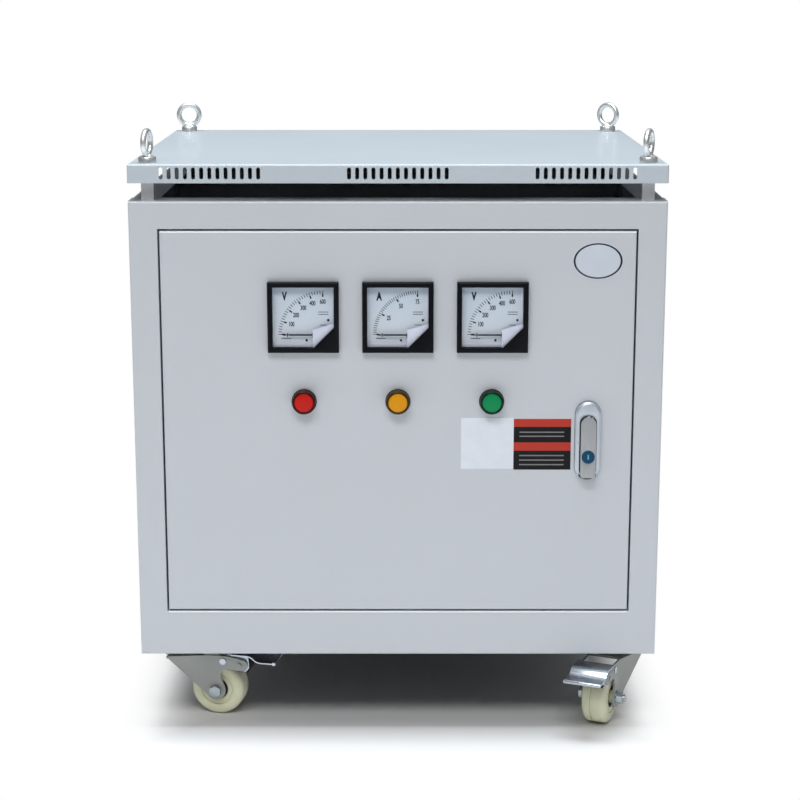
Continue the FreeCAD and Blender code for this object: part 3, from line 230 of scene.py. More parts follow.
class Finish:
    """One material, or the world, built up from nodes."""

    def __init__(self, name, world=False):
        self.material = (bpy.data.worlds if world else bpy.data.materials).new(name)
        self.material.use_nodes = True
        self.tree = self.material.node_tree
        self.shader = self.tree.nodes["Background" if world else "Principled BSDF"]
        self.place = None

    def node(self, kind, settings=None, inputs=None):
        made = self.tree.nodes.new(kind)
        for key, value in (settings or {}).items():
            setattr(made, key, value)
        for key, value in (inputs or {}).items():
            self.feed(made.inputs[key], value)
        return made

    def feed(self, socket, value):
        if isinstance(value, Value):
            value = value.socket
        if isinstance(value, bpy.types.NodeSocket):
            self.tree.links.new(value, socket)
        else:
            socket.default_value = value

    def set(self, **values):
        for name, value in values.items():
            self.feed(self.shader.inputs[name.replace("_", " ")], value)
        return self

    def position(self):
        if self.place is None:
            self.place = self.node("ShaderNodeTexCoord").outputs["Object"]
        return self.place

    def axes(self, vector=None):
        split = self.node("ShaderNodeSeparateXYZ", None, {0: vector or self.position()})
        return tuple(Value(self, output) for output in split.outputs)

    def seen(self):
        """1 where the camera looks straight or through clear plastic, else 0."""
        path = self.node("ShaderNodeLightPath").outputs
        return Value(self, path["Is Camera Ray"]).largest(Value(self, path["Is Transmission Ray"]))

    def stretched(self, stretch):
        inputs = {"Vector": self.position(), "Scale": stretch}
        return self.node("ShaderNodeMapping", None, inputs).outputs[0]

    def noise(self, scale, detail=3.0, stretch=None, roughness=0.55):
        place = self.stretched(stretch) if stretch else self.position()
        inputs = {"Vector": place, "Scale": scale, "Detail": detail, "Roughness": roughness}
        return Value(self, self.node("ShaderNodeTexNoise", None, inputs).outputs[0])

    def blend(self, factor, first, second):
        node = self.node("ShaderNodeMix", {"data_type": "RGBA"}, {0: factor})
        self.feed(node.inputs[6], first)
        self.feed(node.inputs[7], second)
        return node.outputs[2]

    def bump(self, height, depth, strength=1.0):
        inputs = {"Height": height, "Distance": depth, "Strength": strength}
        return self.set(Normal=self.node("ShaderNodeBump", None, inputs).outputs[0])


def shade(colour, factor):
    """The same colour, lighter or darker."""
    return tuple(min(1.0, c * factor) for c in colour[:3]) + (1.0,)


def powder_coat(name, colour, gloss=0.6, folds=(), half_width=0.0, grain=1400.0):
    """Baked powder paint: an even colour with a faint orange peel, and a painted highlight along the given folds.
    """
    finish = Finish(name)
    base = linear(colour)
    cloud = finish.noise(5.0, 2.0)
    speck = finish.noise(260.0, 2.0)
    patches = ((cloud - 0.5) * 0.5 + (speck - 0.5) * 0.25 + 0.5).clamped()
    tint = finish.blend(patches, shade(base, 0.95), shade(base, 1.04))
    x, _, z = finish.axes()
    # painted highlight: a near-white strip along each fold stands in for the light that the rounded fold catches
    painted_highlight, highlight_half = linear((0.97, 0.985, 1.0)), 0.7 * MM
    for height in folds:
        fold = (z - height).size().below(highlight_half) * x.size().below(half_width)
        tint = finish.blend(fold * 0.9, tint, painted_highlight)
    finish.set(Base_Color=tint, Roughness=0.40 + cloud * 0.10, Coat_Weight=gloss, Coat_Roughness=0.14)
    return finish.bump(finish.noise(grain, 2.0), 0.00012, 0.30)


def zinc_plate(name, colour, roughness=0.42, metallic=0.85, spangle=0.10):
    """Electroplated steel: dull, slightly blotchy, with fine rolling marks."""
    finish = Finish(name)
    base = linear(colour)
    blotch = finish.noise(70.0, 4.0)
    grain = finish.noise(420.0, 3.0, (1.0, 1.0, 0.18))
    tint = finish.blend(blotch, shade(base, 1.0 - spangle), shade(base, 1.0 + spangle))
    wear = (roughness - 0.10) + blotch * 0.16 + grain * 0.06
    finish.set(Base_Color=tint, Roughness=wear, Metallic=metallic)
    return finish.bump(grain, 0.00010, 0.4)


def moulded_plastic(name, colour, roughness=0.42, grain=2600.0, texture=0.3, sheen=0.5):
    """Moulded plastic with a fine spark-eroded grain."""
    finish = Finish(name)
    base = linear(colour)
    cloud = finish.noise(40.0, 3.0)
    tint = finish.blend(cloud, shade(base, 0.88), shade(base, 1.10))
    finish.set(Base_Color=tint, Roughness=(roughness - 0.04) + cloud * 0.08, Specular_IOR_Level=sheen)
    return finish.bump(finish.noise(grain, 2.0), 0.00006, texture)


def flat_print(name, colour, roughness=0.5):
    """Screen-printed ink, slightly uneven in its cover."""
    finish = Finish(name)
    base = linear(colour)
    cover = finish.noise(900.0, 3.0)
    finish.set(Base_Color=finish.blend(cover, shade(base, 0.85), shade(base, 1.15)), Roughness=roughness)
    return finish


def dial_paper(name):
    """A matt white scale plate with painted shade, darker and faintly bluer towards its top."""
    finish = Finish(name)
    z = finish.axes()[2]
    low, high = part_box("meter_dials")
    rise = ((z - low.z) / (high.z - low.z)).clamped()
    mottle = finish.noise(120.0, 3.0)
    # painted shade: the plate darkens and turns bluer from its bottom to its top
    tint = finish.blend(rise, linear((0.90, 0.93, 0.97)), linear((0.82, 0.88, 0.94)))
    tint = finish.blend(mottle * 0.12, tint, linear((0.68, 0.74, 0.80)))
    finish.set(Base_Color=tint, Roughness=0.55 + mottle * 0.1)
    return finish.bump(finish.noise(2200.0, 2.0), 0.00003, 0.3)


def clear_acrylic(name):
    """A clear window that shows the dial and catches a little light."""
    finish = Finish(name)
    haze = finish.noise(60.0, 3.0)
    finish.set(Base_Color=linear((0.10, 0.11, 0.12)), Roughness=0.05 + haze * 0.05, Alpha=0.04)
    finish.material.surface_render_method = "BLENDED"
    return finish


def lamp_plastic(name, colour):
    """Tinted translucent plastic with a fine moulded grain."""
    finish = Finish(name)
    base = linear(colour)
    depth = finish.noise(500.0, 3.0)
    tint = finish.blend(depth, shade(base, 0.92), shade(base, 1.08))
    finish.set(Base_Color=tint, Roughness=0.30 + depth * 0.12, Specular_IOR_Level=0.2)
    return finish.bump(depth, 0.00004, 0.3)


def lock_casting(name, colour, roughness, gap, shade_inside):
    """Die-cast metal, brushed upright, with painted shade: black deep in the gap round the lever."""
    finish = zinc_plate(name, colour, roughness, 0.55, 0.04)
    centre, reach, skin = gap
    x, y, z = finish.axes()
    rise = (z - centre.z).largest(0.0)
    aside = x - centre.x
    away = (aside * aside + rise * rise) ** 0.5
    # painted shade: black on whatever lies behind the skin depth, inside the reach round the lever's arc for the
    # housing and outside it for the lever
    gap_shade = y.above(skin) * (away.below(reach) if shade_inside else away.above(reach))
    face = finish.shader.inputs["Base Color"].links[0].from_socket
    brushed = finish.noise(900.0, 2.0, (1.0, 1.0, 0.05))
    face = finish.blend(brushed * 0.25, face, linear((0.42, 0.43, 0.45)))
    finish.set(Base_Color=finish.blend(gap_shade, face, linear((0.03, 0.03, 0.035))))
    return finish


def cream_nylon(name, colour):
    """Injection-moulded nylon, waxy, and darker in patches towards the bottom of the tread."""
    finish = Finish(name)
    base = linear(colour)
    cloud = finish.noise(55.0, 4.0)
    z = finish.axes()[2]
    # darker towards the bottom: the lowest 12 mm blend in patches towards a grey brown
    darkening_height = 12 * MM
    low_darkening = ((darkening_height - z) / darkening_height).clamped() * finish.noise(380.0, 4.0)
    tint = finish.blend(cloud, shade(base, 0.90), shade(base, 1.06))
    tint = finish.blend(low_darkening * 0.5, tint, linear((0.52, 0.50, 0.43)))
    finish.set(Base_Color=tint, Roughness=0.34 + cloud * 0.16, Subsurface_Weight=0.12,
               Subsurface_Radius=(6 * MM, 5 * MM, 3 * MM))
    return finish.bump(finish.noise(700.0, 3.0), 0.00010, 0.3)


def black_rubber(name):
    """Matt black rubber."""
    finish = Finish(name)
    dust = finish.noise(90.0, 4.0)
    tint = finish.blend(dust, linear((0.07, 0.07, 0.075)), linear((0.15, 0.15, 0.15)))
    finish.set(Base_Color=tint, Roughness=0.62 + dust * 0.2)
    return finish.bump(finish.noise(1500.0, 3.0), 0.00010, 0.5)


def stacked_steel(name):
    """Varnished laminations, their edges showing as fine lines across the stack."""
    finish = Finish(name)
    y, spacing = finish.axes()[1], 3.0 * MM
    line = (y * (2 * math.pi / spacing)).wave() * 0.5 + 0.5
    stain = finish.noise(25.0, 4.0)
    tint = finish.blend(line * 0.35 + stain * 0.4, linear((0.24, 0.25, 0.27)), linear((0.44, 0.44, 0.44)))
    finish.set(Base_Color=tint, Roughness=0.38 + stain * 0.2, Metallic=0.45)
    return finish.bump(line, 0.00020, 0.6)


def wound_copper(name, colour, turn=4.2):
    """Varnished turns under glass tape, running round the limb."""
    finish = Finish(name)
    base = linear(colour)
    z = finish.axes()[2]
    turns = (z * (2 * math.pi / (turn * MM))).wave() * 0.5 + 0.5
    stain = finish.noise(45.0, 5.0)
    tint = finish.blend(turns * 0.5 + stain * 0.4, shade(base, 0.62), shade(base, 1.25))
    finish.set(Base_Color=tint, Roughness=0.28 + stain * 0.2, Coat_Weight=0.35)
    return finish.bump(turns, 0.00060, 0.8)


def fibre_board(name, colour):
    """Pressed board with long fibres."""
    finish = Finish(name)
    base = linear(colour)
    fibre = finish.noise(120.0, 5.0, (1.0, 1.0, 0.12))
    tint = finish.blend(fibre, shade(base, 0.75), shade(base, 1.15))
    finish.set(Base_Color=tint, Roughness=0.55 + fibre * 0.2)
    return finish.bump(fibre, 0.00015, 0.4)


def bare_copper(name):
    """Rolled copper with a light tarnish."""
    finish = Finish(name)
    tarnish = finish.noise(60.0, 4.0)
    tint = finish.blend(tarnish, linear((0.80, 0.50, 0.36)), linear((0.62, 0.36, 0.26)))
    finish.set(Base_Color=tint, Roughness=0.24 + tarnish * 0.2, Metallic=0.95)
    return finish.bump(finish.noise(500.0, 3.0, (1.0, 1.0, 0.2)), 0.00005, 0.3)


def banded_label(name, low, high, red):
    """A dark label with two red bands and plain pale rules, with no words."""
    finish = Finish(name)
    x, _, z = finish.axes()
    across, rise = (x - low.x) / (high.x - low.x), (z - low.z) / (high.z - low.z)
    upper, lower = rise.above(0.845), rise.above(0.375) * rise.below(0.540)
    inside = across.above(0.10) * across.below(0.88)
    ink = finish.blend(upper.largest(lower), linear((0.05, 0.05, 0.07)), linear(red))
    for place in (0.74, 0.66, 0.28, 0.19, 0.10):
        rule = (rise - place).size().below(0.012) * inside
        ink = finish.blend(rule * 0.30, ink, linear((0.85, 0.85, 0.85)))
    wear = finish.noise(300.0, 3.0)
    return finish.set(Base_Color=ink, Roughness=0.32 + wear * 0.12, Specular_IOR_Level=0.2)


def blank_label(name):
    """Plain white vinyl."""
    finish = Finish(name)
    cloud = finish.noise(60.0, 3.0)
    tint = finish.blend(cloud, linear((0.84, 0.86, 0.90)), linear((0.90, 0.92, 0.95)))
    finish.set(Base_Color=tint, Roughness=0.34 + cloud * 0.1)
    return finish.bump(finish.noise(800.0, 2.0), 0.00003, 0.2)


def oval_label(name, centre, half_width, half_height):
    """Plain oval vinyl with a printed outline."""
    finish = Finish(name)
    x, _, z = finish.axes()
    across, rise = (x - centre.x) / half_width, (z - centre.z) / half_height
    reach = (across * across + rise * rise) ** 0.5
    outline = reach.above(0.875) * reach.below(0.955)
    cloud = finish.noise(60.0, 3.0)
    face = finish.blend(cloud, linear((0.76, 0.79, 0.83)), linear((0.80, 0.83, 0.87)))
    ink = finish.blend(outline, face, linear((0.10, 0.10, 0.12)))
    return finish.set(Base_Color=ink, Roughness=0.35 + cloud * 0.1)


def coated_with_screws(name, colour):
    """The shell's coat, with bare zinc on whatever stands behind the back panel."""
    finish = powder_coat(name, colour)
    y, head_height = finish.axes()[1], 2.9 * MM
    heads = y.above(REAR_FACE - head_height)
    paint = finish.shader.inputs["Base Color"].links[0].from_socket
    blotch = finish.noise(300.0, 3.0)
    metal = finish.blend(blotch, linear((0.60, 0.61, 0.61)), linear((0.76, 0.77, 0.77)))
    return finish.set(Base_Color=finish.blend(heads, paint, metal), Metallic=heads * 0.85)


# Modelling

def clear_selection():
    if bpy.context.object and bpy.context.object.mode != "OBJECT":
        bpy.ops.object.mode_set(mode="OBJECT")
    bpy.ops.object.select_all(action="DESELECT")


def only(piece):
    clear_selection()
    piece.select_set(True)
    bpy.context.view_layer.objects.active = piece
    return piece


def settle(piece):
    """Puts the piece's place and turn into its mesh."""
    only(piece)
    bpy.ops.object.transform_apply(location=True, rotation=True, scale=True)
    return piece


def moved(piece, matrix):
    piece.data.transform(matrix)
    piece.data.update()
    return piece


def bevelled(piece, width, segments=3, angle=35.0):
    only(piece)
    cut = piece.modifiers.new("rounded edges", "BEVEL")
    cut.width = width
    cut.segments = segments
    cut.limit_method = "ANGLE"
    cut.angle_limit = math.radians(angle)
    cut.harden_normals = False
    bpy.ops.object.modifier_apply(modifier=cut.name)
    return piece


def smooth(piece, angle=35.0):
    only(piece)
    bpy.ops.object.shade_smooth_by_angle(angle=math.radians(angle))
    return piece


def joined(name, pieces):
    """One piece from several."""
    clear_selection()
    for piece in pieces:
        piece.select_set(True)
    bpy.context.view_layer.objects.active = pieces[0]
    if len(pieces) > 1:
        bpy.ops.object.join()
    pieces[0].name = name
    return pieces[0]


def copied(piece, matrix):
    """Another piece of the same form, with its own mesh."""
    copy = bpy.data.objects.new(piece.name, piece.data.copy())
    bpy.context.scene.collection.objects.link(copy)
    return moved(copy, matrix)


def block(name, low, high, bevel=0.0, segments=3):
    """A plate or block between two corners, with rounded edges."""
    clear_selection()
    bpy.ops.mesh.primitive_cube_add(size=1, location=(low + high) / 2)
    piece = bpy.context.object
    piece.name = name
    piece.scale = high - low
    settle(piece)
    return bevelled(piece, bevel, segments) if bevel else piece


def turned(name, profile, centre, direction, sides=64, closed=False):
    """A round piece, drawn ring by ring from (radius, distance along direction) pairs."""
    clear_selection()
    radius, along = profile[0]
    bpy.ops.mesh.primitive_circle_add(vertices=sides, radius=radius, location=(0, 0, along))
    piece = bpy.context.object
    piece.name = name
    settle(piece)
    bpy.ops.object.mode_set(mode="EDIT")
    bpy.ops.mesh.select_all(action="SELECT")
    for next_radius, next_along in profile[1:]:
        bpy.ops.mesh.extrude_region_move(TRANSFORM_OT_translate={"value": (0, 0, next_along - along)})
        if next_radius == 0:
            bpy.ops.mesh.merge(type="COLLAPSE")
            break
        factor = next_radius / radius
        bpy.ops.transform.resize(value=(factor, factor, 1))
        radius, along = next_radius, next_along
    bpy.ops.mesh.select_all(action="SELECT")
    bpy.ops.mesh.remove_doubles(threshold=1e-6)
    if not closed:
        bpy.ops.mesh.fill_holes(sides=0)
    bpy.ops.mesh.normals_make_consistent(inside=False)
    bpy.ops.object.mode_set(mode="OBJECT")
    piece.rotation_mode = "QUATERNION"
    piece.rotation_quaternion = direction.to_track_quat("Z", "Y")
    piece.location = centre
    return smooth(settle(piece))


def ring(name, major, minor, centre, direction, sides=72, section=24):
    """A torus."""
    clear_selection()
    bpy.ops.mesh.primitive_torus_add(major_radius=major, minor_radius=minor, major_segments=sides,
                                     minor_segments=section)
    piece = bpy.context.object
    piece.name = name
    piece.rotation_mode = "QUATERNION"
    piece.rotation_quaternion = direction.to_track_quat("Z", "Y")
    piece.location = centre
    return smooth(settle(piece))


def softened(name, node, bevel, segments=3, angle=35.0):
    """A copy of a CAD node with its edges rounded, to stand for it."""
    piece = bpy.data.objects.new(name, frame["nodes"][node].data.copy())
    bpy.context.scene.collection.objects.link(piece)
    piece.data.materials.clear()
    only(piece)
    bpy.ops.object.mode_set(mode="EDIT")
    bpy.ops.mesh.select_all(action="SELECT")
    bpy.ops.mesh.remove_doubles(threshold=2e-6)
    bpy.ops.mesh.dissolve_limited(angle_limit=math.radians(0.6))
    bpy.ops.object.mode_set(mode="OBJECT")
    bevelled(piece, bevel, segments, angle)
    return smooth(piece, 40.0)


def finished(piece, finish, body, slot, *nodes):
    """Gives the piece its material and body, and says which CAD nodes it stands for. The slot is not used."""
    piece.data.materials.clear()
    piece.data.materials.append(finish.material)
    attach(piece, body)
    if nodes:
        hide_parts(*nodes)
    return piece


def painted(finish, *nodes):
    """Gives CAD nodes a better material."""
    for node in nodes:
        materials = frame["nodes"][node].data.materials
        materials.clear()
        materials.append(finish.material)


def joint_place(name):
    return Vector(JOINTS[name]["pos_m"])


def caster_place(corner):
    """The matrix from a caster's own frame, trailing along +X, to its place."""
    swivel, roll = joint_place("swivel_" + corner), joint_place("roll_" + corner)
    trail = roll - swivel
    turn = Matrix.Rotation(math.atan2(trail.y, trail.x), 4, "Z")
    return Matrix.Translation((swivel.x, swivel.y, 0)) @ turn


# Operators, one for each group of pieces

class CABINET_OT_shell(bpy.types.Operator):
    """Paints the body, the lid and the door"""
    bl_idname = "cabinet.shell"
    bl_label = "Paint the shell"

    def execute(self, context):
        colours = context.scene.cabinet_colours
        coat = powder_coat("shell_powder_coat", colours.shell)
        painted(coat, "side_wall_left", "side_wall_right", "base_beams")
        gap, reach = 2 * MM, DOOR_HIGH.x
        # Heights of the painted highlights: the frame's fold under the door opening and the door's top fold
        folds = {"front_frame": DOOR_LOW.z - gap - 0.9 * MM, "door_panel": DOOR_HIGH.z - 1.3 * MM}
        for node, fold in folds.items():
            painted(powder_coat(node + "_coat", colours.shell, folds=(fold,), half_width=reach), node)
        # painted light: the posts take a lighter copy of the shell's paint
        painted(powder_coat("post_powder_coat", colours.post), "lid_posts")
        painted(coated_with_screws("rear_powder_coat", colours.shell), "rear_panel")
        # painted shade and painted bluish light: the lid takes a darker, bluer copy of the shell's paint
        painted(powder_coat("lid_powder_coat", colours.lid, 0.2), "lid")
        painted(zinc_plate("hinge_zinc", colours.zinc), "hinge_pins")
        return {"FINISHED"}


class CABINET_OT_lifting_eyes(bpy.types.Operator):
    """Forges the four lifting eyes"""
    bl_idname = "cabinet.lifting_eyes"
    bl_label = "Lifting eyes"

    def execute(self, context):
        mounts = {mount["name"]: mount for mount in frame["record"]["mounts"]}
        hole, section, lift = 10 * MM, 3.25 * MM, 21.5 * MM
        collar = in_mm((4, -20), (4, 0), (9.4, 0), (10, 0.6), (10, 5.4), (9.2, 6.6), (7.0, 7.2), (5.2, 8.2),
                       (4.0, 9.6), (3.0, 10.6))
        foot = turned("eye", collar, Vector((0, 0, 0)), ALONG_Z, 48)
        loop = ring("loop", hole + section, section, Vector((0, 0, lift)), ALONG_Y)
        eye = joined("eye", [foot, loop])
        eyes = []
        for corner in CORNERS:
            mount = mounts["lifting_eye_" + corner]
            place = Vector(mount["pos_m"]) - Vector((0, 0, lift))
            turn = math.atan2(-mount["axis"][0], mount["axis"][1])
            eyes.append(copied(eye, Matrix.Translation(place) @ Matrix.Rotation(turn, 4, "Z")))
        bpy.data.objects.remove(eye)
        finish = zinc_plate("eye_zinc", context.scene.cabinet_colours.eye, 0.34, 0.80, 0.14)
        finished(joined("lifting_eyes", eyes), finish, "cabinet", "zinc", "eye_bolts")
        return {"FINISHED"}


class CABINET_OT_meters(bpy.types.Operator):
    """Finishes the meters: cases, printed scales, needles and windows"""
    bl_idname = "cabinet.meters"
    bl_label = "Panel meters"

    # Each scale's letter, its numbers by their angle, and the angle between two marks
    VOLTS = ("V", {0: "0", 18: "100", 36: "200", 54: "300", 72: "400", 90: "600"}, 3.6)
    AMPERES = ("A", {0: "0", 30: "25", 60: "50", 90: "75"}, 3.0)
    SCALES = {"left": VOLTS, "middle": AMPERES, "right": VOLTS}

    # Millimetres from the pivot: the letter, and the plain rules with half of their lengths
    LETTER_PLACE = (-43.0, 43.0)
    RULES = ((0.6, 25.6, 5.6), (0.6, 23.0, 5.6), (0.5, 10.7, 3.7), (-41.3, -4.6, 5.5))
    RULE_HALF = 0.35 * MM

    # Thickness of the ink, of the lettering and of the needle's marks
    INK = 0.06 * MM
    LETTERING = 0.03 * MM
    MARKING = 0.45 * MM

    # Half of the window's side, and the screws' places in millimetres from its middle
    WINDOW = 34.3 * MM
    SCREWS = ((28.0, -3.6), (3.5, -26.6))

    def mark(self, width, long, outer):
        """One scale mark that points to the left of the pivot."""
        low = Vector((-outer, -self.INK, -width / 2))
        return block("mark", low, Vector((long - outer, 0, width / 2)))

    def words(self, text, height, place, weight):
        """Raised ink, upright on the dial's plane."""
        clear_selection()
        bpy.ops.object.text_add(location=place, rotation=(math.pi / 2, 0, 0))
        piece = bpy.context.object
        piece.data.body = text
        piece.data.size = height
        piece.data.align_x = "CENTER"
        piece.data.align_y = "CENTER"
        piece.data.extrude = self.LETTERING
        piece.data.offset = height * weight
        piece.scale.x = bpy.context.scene.cabinet_meter_print.narrowing
        only(piece)
        bpy.ops.object.convert(target="MESH")
        return settle(piece)

    def scale(self, side, pivot, face):
        """The printed marks, numbers, letter and rules."""
        settings = bpy.context.scene.cabinet_meter_print
        letter, numbers, step = self.SCALES[side]
        fine = self.mark(settings.fine_line, settings.short_mark, settings.radius)
        bold = self.mark(settings.bold_line, settings.long_mark, settings.radius - settings.short_mark)
        home = Matrix.Translation((pivot.x, face, pivot.z))
        ink_face = face - self.LETTERING
        pieces = []
        for count in range(round(90 / step) + 1):
            pieces.append(copied(fine, home @ Matrix.Rotation(math.radians(count * step), 4, "Y")))
        for angle, number in numbers.items():
            turn = math.radians(angle)
            pieces.append(copied(bold, home @ Matrix.Rotation(turn, 4, "Y")))
            if angle:
                reach = settings.number_radius
                place = Vector((pivot.x - reach * math.cos(turn), ink_face, pivot.z + reach * math.sin(turn)))
                pieces.append(self.words(number, settings.number_height, place, 0.03))
        across, rise = self.LETTER_PLACE
        place = Vector((pivot.x + across * MM, ink_face, pivot.z + rise * MM))
        pieces.append(self.words(letter, settings.letter_height, place, 0.055))
        for across, rise, half in self.RULES:
            middle = Vector((pivot.x + across * MM, face, pivot.z + rise * MM))
            low = middle - Vector((half * MM, self.INK, self.RULE_HALF))
            pieces.append(block("rule", low, middle + Vector((half * MM, 0, self.RULE_HALF))))
        bpy.data.objects.remove(fine)
        bpy.data.objects.remove(bold)
        return joined("dial_print_" + side, pieces)

    def shield(self, side, middle):
        """The white cover over the movement, in front of the needle's root, cut to the case's corner."""
        left, right = middle.x + 10.4 * MM, middle.x + self.WINDOW
        low, high = middle.z - self.WINDOW, middle.z - 7.0 * MM
        slope, thick = 7.2 * MM, 0.7 * MM
        corner = (right, middle.y, middle.z - 11.7 * MM)
        clear_selection()
        bpy.ops.mesh.primitive_plane_add(size=1, rotation=(math.pi / 2, 0, 0))
        piece = bpy.context.object
        piece.scale = (right - left, high - low, 1)
        piece.location = ((left + right) / 2, middle.y, (low + high) / 2)
        settle(piece)
        bpy.ops.object.mode_set(mode="EDIT")
        for place, normal in (((right, middle.y, high), (-slope, 0, right - left)), (corner, (1, 0, -1))):
            bpy.ops.mesh.select_all(action="SELECT")
            bpy.ops.mesh.bisect(plane_co=place, plane_no=normal, use_fill=False, clear_outer=True)
        bpy.ops.mesh.select_all(action="SELECT")
        bpy.ops.mesh.extrude_region_move(TRANSFORM_OT_translate={"value": (0, thick, 0)})
        bpy.ops.mesh.select_all(action="SELECT")
        bpy.ops.mesh.normals_make_consistent(inside=False)
        bpy.ops.object.mode_set(mode="OBJECT")
        piece.name = "movement_shield_" + side
        return smooth(bevelled(piece, 0.2 * MM, 2))

    def liner(self, side, middle, face):
        """The pale lip along the dial's lower and right edges."""
        far, width, thick, bevel = self.WINDOW, 3.1 * MM, 0.8 * MM, 0.3 * MM
        lower = block("liner", Vector((middle.x - far, face - thick, middle.z - far)),
                      Vector((middle.x + 11 * MM, face, middle.z + width - far)), bevel)
        upright = block("liner", Vector((middle.x + far - width + 1 * MM, face - thick, middle.z - 11 * MM)),
                        Vector((middle.x + far, face, middle.z + far)), bevel)
        return joined("dial_liner_" + side, [lower, upright])

    def needle_marks(self, side, pivot):
        """The needle's blade, with the diamond and the cross mark near its tip."""
        tip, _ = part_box("meter_pointer_" + side)
        front = tip.y - 0.25 * MM

        def bar(name, start, end, half):
            low = Vector((start, front, pivot.z - half))
            return block(name, low, Vector((end, front + self.MARKING, pivot.z + half)), 0.15 * MM, 2)

        cross = bar("cross", tip.x + 5.9 * MM, tip.x + 6.9 * MM, 2.3 * MM)
        blade = bar("blade", tip.x + 8.0 * MM, pivot.x - 9 * MM, 0.95 * MM)
        diamond = turned("diamond", [(1.0, 0), (1.0, self.MARKING)], Vector((0, 0, 0)), TO_FRONT, 4)
        moved(diamond, Matrix.Translation((tip.x + 3.2 * MM, front + self.MARKING, pivot.z))
              @ Matrix.Diagonal((3.0 * MM, 1.0, 0.95 * MM, 1.0)))
        return joined("needle_marks_" + side, [cross, diamond, blade])

    def execute(self, context):
        black = moulded_plastic("meter_black", (0.03, 0.035, 0.06), 0.45, sheen=0.12)
        paper = dial_paper("dial_paper")
        ink = flat_print("dial_ink", (0.03, 0.04, 0.06))
        shield_white = moulded_plastic("shield_white", (0.88, 0.90, 0.98), 0.5, 1800.0, 0.2)
        needle_black = moulded_plastic("needle_black", (0.03, 0.03, 0.04), 0.45, sheen=0.2)
        screw = in_mm((1.3, 0), (1.3, 0.5), (0.8, 0.9), (0, 1.0))
        painted(paper, "meter_dials")
        painted(clear_acrylic("window_acrylic"), "meter_windows")
        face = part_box("meter_dials")[0].y
        for side in METERS:
            case = "meter_case_" + side
            low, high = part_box(case)
            pivot = joint_place("pointer_" + side)
            finished(softened("meter_bezel_" + side, case, 0.35 * MM), black, "door", "meter_black", case)
            finished(self.scale(side, pivot, face), ink, "door", "meter_black")
            middle = Vector(((low.x + high.x) / 2, low.y + 3.2 * MM, (low.z + high.z) / 2))
            finished(self.shield(side, middle), shield_white, "door", "dial_white")
            finished(self.liner(side, middle, face), shield_white, "door", "dial_white")
            slot = block("needle_slot_" + side, middle + Vector((9.7 * MM, 0.2 * MM, -22.6 * MM)),
                         middle + Vector((10.5 * MM, 0.6 * MM, -17.4 * MM)), 0.15 * MM, 2)
            finished(slot, needle_black, "door", "meter_black")
            screws = []
            for across, rise in in_mm(*self.SCREWS):
                place = Vector((middle.x + across, face, middle.z + rise))
                screws.append(turned("screw", screw, place, TO_FRONT, 24))
            finished(joined("dial_screws_" + side, screws), needle_black, "door", "meter_black")
            painted(needle_black, "meter_pointer_" + side)
            finished(self.needle_marks(side, pivot), needle_black, "pointer_" + side, "pointer_black")
        return {"FINISHED"}


class CABINET_OT_lamps(bpy.types.Operator):
    """Turns the three pilot lamps"""
    bl_idname = "cabinet.lamps"
    bl_label = "Pilot lamps"

    def execute(self, context):
        colours = context.scene.cabinet_colours
        for name in LAMPS:
            cap = "lamp_cap_" + name
            low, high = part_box(cap)
            centre = Vector(((low.x + high.x) / 2, high.y, (low.z + high.z) / 2))
            proud, radius = (high.y - low.y) / MM, (high.x - low.x) / 2 / MM
            colour = tuple(getattr(colours, name))
            # painted shade: the rim takes the lens colour at a quarter of its strength, a shaded copy of the lens
            # plastic for the darker look of the translucent rim
            dark = tuple(c * 0.25 for c in colour)
            flange = [(radius, 0), (radius, 1.9), (radius - 0.5, 2.4), (13.5, 2.5)]
            bevel = [(13.4, proud - 1.8), (13.0, proud - 0.6), (12.3, proud - 0.1), (11.4, proud),
                     (10.95, proud - 0.4), (10.85, proud - 1.4)]
            lens = [(10.8, proud - 3.0), (10.8, proud - 1.1), (10.5, proud - 0.8), (9.6, proud - 0.6),
                    (7.0, proud - 0.4), (3.5, proud - 0.2), (0, proud - 0.1)]
            rim = turned("lamp_rim_" + name, in_mm(*flange, *bevel), centre, TO_FRONT, 96)
            face = turned("lamp_face_" + name, in_mm(*lens), centre, TO_FRONT, 96)
            finished(rim, lamp_plastic("lamp_rim_" + name, dark), "door", "lamp_" + name, cap)
            finished(face, lamp_plastic("lamp_face_" + name, colour), "door", "lamp_" + name)
        painted(moulded_plastic("lamp_black", (0.10, 0.10, 0.11)), "lamp_bodies")
        return {"FINISHED"}


